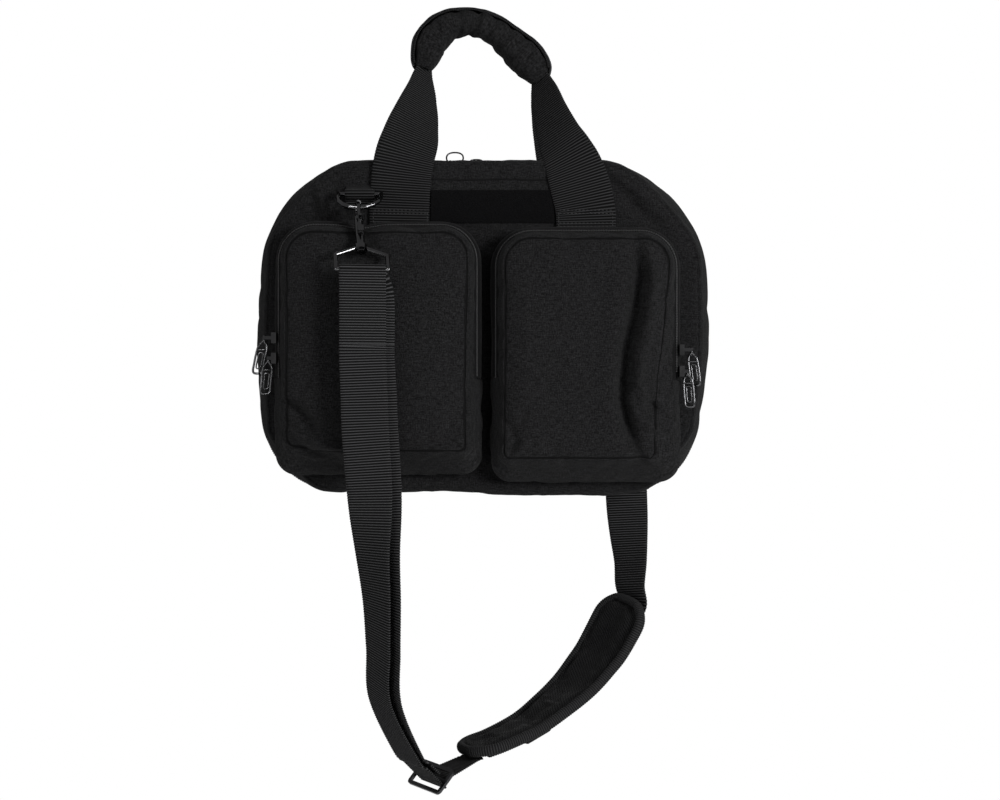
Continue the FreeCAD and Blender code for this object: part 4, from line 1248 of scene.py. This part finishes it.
# The binding runs round the pad's rim as a fat ribbed tape.
RIM_TURNS = 14
RIM_RIB = 2.1
rim = rim_side(1) + rim_end(-1, 1) + rim_side(-1)[::-1] + rim_end(0, -1)
rim.append(rim[0])
rough_length = curve_through(rim, 400)[1]
rim_path, rim_length = curve_through(rim, int(rough_length * 1.9))
up = unit(rim_path[:, 3:6])
out = np.cross(tangents(rim_path[:, :3]), up)
distance = np.linspace(0, rim_length, len(rim_path))
ribs = 0.22 * np.cos(2 * np.pi * distance / RIM_RIB)
lines = []
uvs = []
for turn, u in zip(np.linspace(0, 2 * math.pi, RIM_TURNS, endpoint=False), np.linspace(0, 22, RIM_TURNS)):
    c, s = math.cos(turn), math.sin(turn)
    sideways = squared(c, 0.7) * 3.6 + ribs * c
    lines.append(rim_path[:, :3] + out * sideways[:, None] + up * (s * 4.6 + ribs * s)[:, None])
    uvs.append(np.column_stack([np.full(len(distance), u), distance]))
binding = through_lines("pad_rim_binding", lines, uvs, capped=False)
dress(binding, PAD_BINDING)
settle(binding, "pad_binding", FRONT)

UNDER = 7.6
stations = [(*(centre[i] - normal[i] * UNDER), *side[i]) for i in range(4, PAD_ROWS - 3, 5)]
strap("strap_below_pad", stations, "strap_under_pad", FRONT)
# The webbing leaves the pad's lower end for the slider.
buckle_at, buckle_side = np.array(slider_at) + np.array(buckle_face) * 1.5, np.array(buckle_side)
buckle_side *= math.copysign(1, np.dot(buckle_side, side[-1]))
leave = centre[-1] - normal[-1] * 8.2 + tangent[-1] * 2
link = [(*(centre[-4] - normal[-4] * UNDER), *side[-4]), (*leave, *side[-1])]
for share in (0.45, 0.8, 1.0):
    at = leave * (1 - share) + buckle_at * share
    link.append((*at, *(side[-1] * (1 - share) + buckle_side * share)))
pad_link = ribbon("strap_pad_link", link, STRAP_WIDE - 3, 1.6)
dress(pad_link, WEBBING_FINE)
settle(pad_link, "", FRONT, "strap_adjuster", link[1][:3], link[3][:3])
for name, share in (("pad_keeper_upper", 0.3), ("pad_keeper_lower", 0.72)):
    i = int(share * PAD_ROWS)
    stations = []
    for a in np.linspace(-1, 1, 11):
        drop = 9.6 - 3.2 * smooth(0.72, 1.0, abs(a))
        stations.append((*(centre[i] + side[i] * (a * 23) - normal[i] * drop), *tangent[i]))
    keeper = ribbon(name + "_band", stations, 24, 1.4)
    dress(keeper, WEBBING_FINE)
    settle(keeper, name, FRONT)

# ------------------------------------------------------------------ wire loops on the main sliders
# Half width, length and backward lean of each loop.
LOOPS = {"a": (7.4, 11.0, 24), "b": (5.2, 4.8, 42)}
for letter, (wide, long, lean) in LOOPS.items():
    low, high = (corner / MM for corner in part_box("main_pull_" + letter))
    back, rise = math.sin(math.radians(lean)), math.cos(math.radians(lean))
    points = []
    for turn in range(0, 360, 20):
        a = math.radians(turn)
        reach = long / 2 * (1 + squared(math.sin(a), 0.85))
        x = (low.x + high.x) / 2 + wide * squared(math.cos(a), 0.85)
        points.append((x, (low.y + high.y) / 2 + reach * back, low.z + 0.7 + reach * rise))
    wire_loop = bent_bar("main_pull_loop_" + letter, points, 0.7, True, 12, 72)
    dress(wire_loop, METAL_DARK)
    settle(wire_loop, "main_pull_" + letter, "main_zip_pull_" + letter)

# ------------------------------------------------------------------ pocket zip pulls
# Half outlines of a pull from its eye down, (across, down); the foot is measured up from its lower end.
PULL_OUTLINE = ((0.0, 0.6), (2.0, 1.4), (2.3, 4.5), (3.9, 9.0), (4.4, 16.0))
PULL_FOOT = ((4.4, -8.0), (4.2, -2.6), (2.4, -0.4))
PULL_SWING = {"left_upper": -0.20, "left_lower": -0.10, "right_upper": 0.13, "right_lower": 0.08}


def pull_points(outline, top, swing):
    """A pull's outline in place: the eye keeps to the pin, the rest hangs twisted to the front."""
    points = []
    for across, down in outline:
        hang = float(smooth(3, 11, down))
        twist = math.radians(58) * hang * (1 if swing < 0 else -1)
        x = top.x + swing * down + across * math.sin(twist)
        points.append((x, top.y - hang + across * math.cos(twist), top.z - down))
    return points


for key, swing in PULL_SWING.items():
    side, place = key.split("_")
    low, high = (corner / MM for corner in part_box(f"{side}_pull_{place}"))
    top = Vector(((low.x + high.x) / 2, (low.y + high.y) / 2, high.z))
    long = high.z - low.z
    outer = [*PULL_OUTLINE, *((across, long + up) for across, up in PULL_FOOT)]
    ring = outer + [(-across, down) for across, down in reversed(outer[1:])]
    inner = [(1.9, 15.0), (2.1, 19.0), (2.1, long - 7), (1.4, long - 4.6)]
    slot = inner + [(-across, down) for across, down in reversed(inner)]
    bar = [(across, 12.0) for across in (-4.0, -2.0, 0.0, 2.0, 4.0)]
    shapes = ((ring, 0.95, True, 110), (slot, 0.6, True, 110), (bar, 0.8, False, 16))
    wires = [bent_bar("wire", pull_points(outline, top, swing), radius, closed, 10, count)
             for outline, radius, closed, count in shapes]
    pull = join(f"{side}_pull_frame_{place}", wires)
    dress(pull, METAL_WORN)
    settle(pull, f"{side}_pull_{place}", f"{side}_zip_pull_{place}")

# ------------------------------------------------------------------ carried-over hardware and boards
CARRIED = [("strap_slider", METAL_DARK), ("base_board", BOARD), ("rear_inner_pocket", NET)]
for names, places in (
    ("{}_d_ring {}_snap_hook {}_snap_bolt {}_strap_frame", ("front", "rear")),
    ("main_slider_{}", ("a", "b")),
    ("{}_slider_upper {}_slider_lower", ("left", "right")),
):
    CARRIED += [(name.format(place), METAL) for place in places for name in names.split()]
for name, material in CARRIED:
    dress(frame["nodes"][name], material)

# ------------------------------------------------------------------ floor, light and camera
FLOOR_LEVEL = -0.62
floor_mesh = bpy.data.meshes.new("floor")
corners = [(x, y, FLOOR_LEVEL) for x, y in ((-2, -2), (2, -2), (2, 1), (-2, 1))]
floor_mesh.from_pydata(corners, [], [(0, 1, 2, 3)])
floor = bpy.data.objects.new("floor", floor_mesh)
bpy.context.scene.collection.objects.link(floor)
paper = Pattern("paper", 0.9)
paper.set("Base Color", (0.9, 0.9, 0.9, 1))
dress(floor, paper.material)

# The backdrop is white to the camera and dimmer to the bag, so the cloth keeps its shading.
world = bpy.data.worlds.new("studio")
bpy.context.scene.world = world
world.use_nodes = True
sky = world.node_tree
seen = sky.nodes.new("ShaderNodeLightPath")
strength = sky.nodes.new("ShaderNodeMapRange")
strength.inputs["To Min"].default_value = 0.22
strength.inputs["To Max"].default_value = 1.0
sky.links.new(seen.outputs["Is Camera Ray"], strength.inputs["Value"])
sky.links.new(strength.outputs["Result"], sky.nodes["Background"].inputs["Strength"])
sky.nodes["Background"].inputs["Color"].default_value = (1, 1, 1, 1)


def softbox(name, place, target, wide, high, power):
    """A soft rectangular light, in metres and watts, aimed at a target."""
    light = bpy.data.lights.new(name, "AREA")
    light.shape = "RECTANGLE"
    light.size, light.size_y = wide, high
    light.energy = power
    obj = bpy.data.objects.new(name, light)
    bpy.context.scene.collection.objects.link(obj)
    obj.location = place
    obj.rotation_euler = (Vector(target) - Vector(place)).to_track_quat("-Z", "Y").to_euler()


softbox("key", (1.15, -1.4, 0.42), (0, 0, 0.02), 0.6, 0.6, 38)
softbox("fill", (-1.6, -1.4, -0.15), (0, 0, 0.05), 0.8, 1.2, 13)
softbox("edge", (0.2, 1.2, 1.6), (0, 0, 0.2), 1.5, 0.6, 5)
softbox("strip_left", (-0.7, -1.5, 0.7), (-0.05, 0, 0.15), 0.06, 1.0, 3)
softbox("strip_right", (0.5, -1.8, 0.9), (0, 0, 0.1), 0.06, 0.8, 3)

bpy.context.scene.view_settings.view_transform = "Standard"
camera_data = bpy.data.cameras.new("camera")
camera_data.lens = 59
camera_data.sensor_width = 36
camera = bpy.data.objects.new("camera", camera_data)
bpy.context.scene.collection.objects.link(camera)
camera.location = (0.013, -1.45, 0.077)
camera.rotation_euler = (math.radians(90), 0, 0)
bpy.context.scene.camera = camera
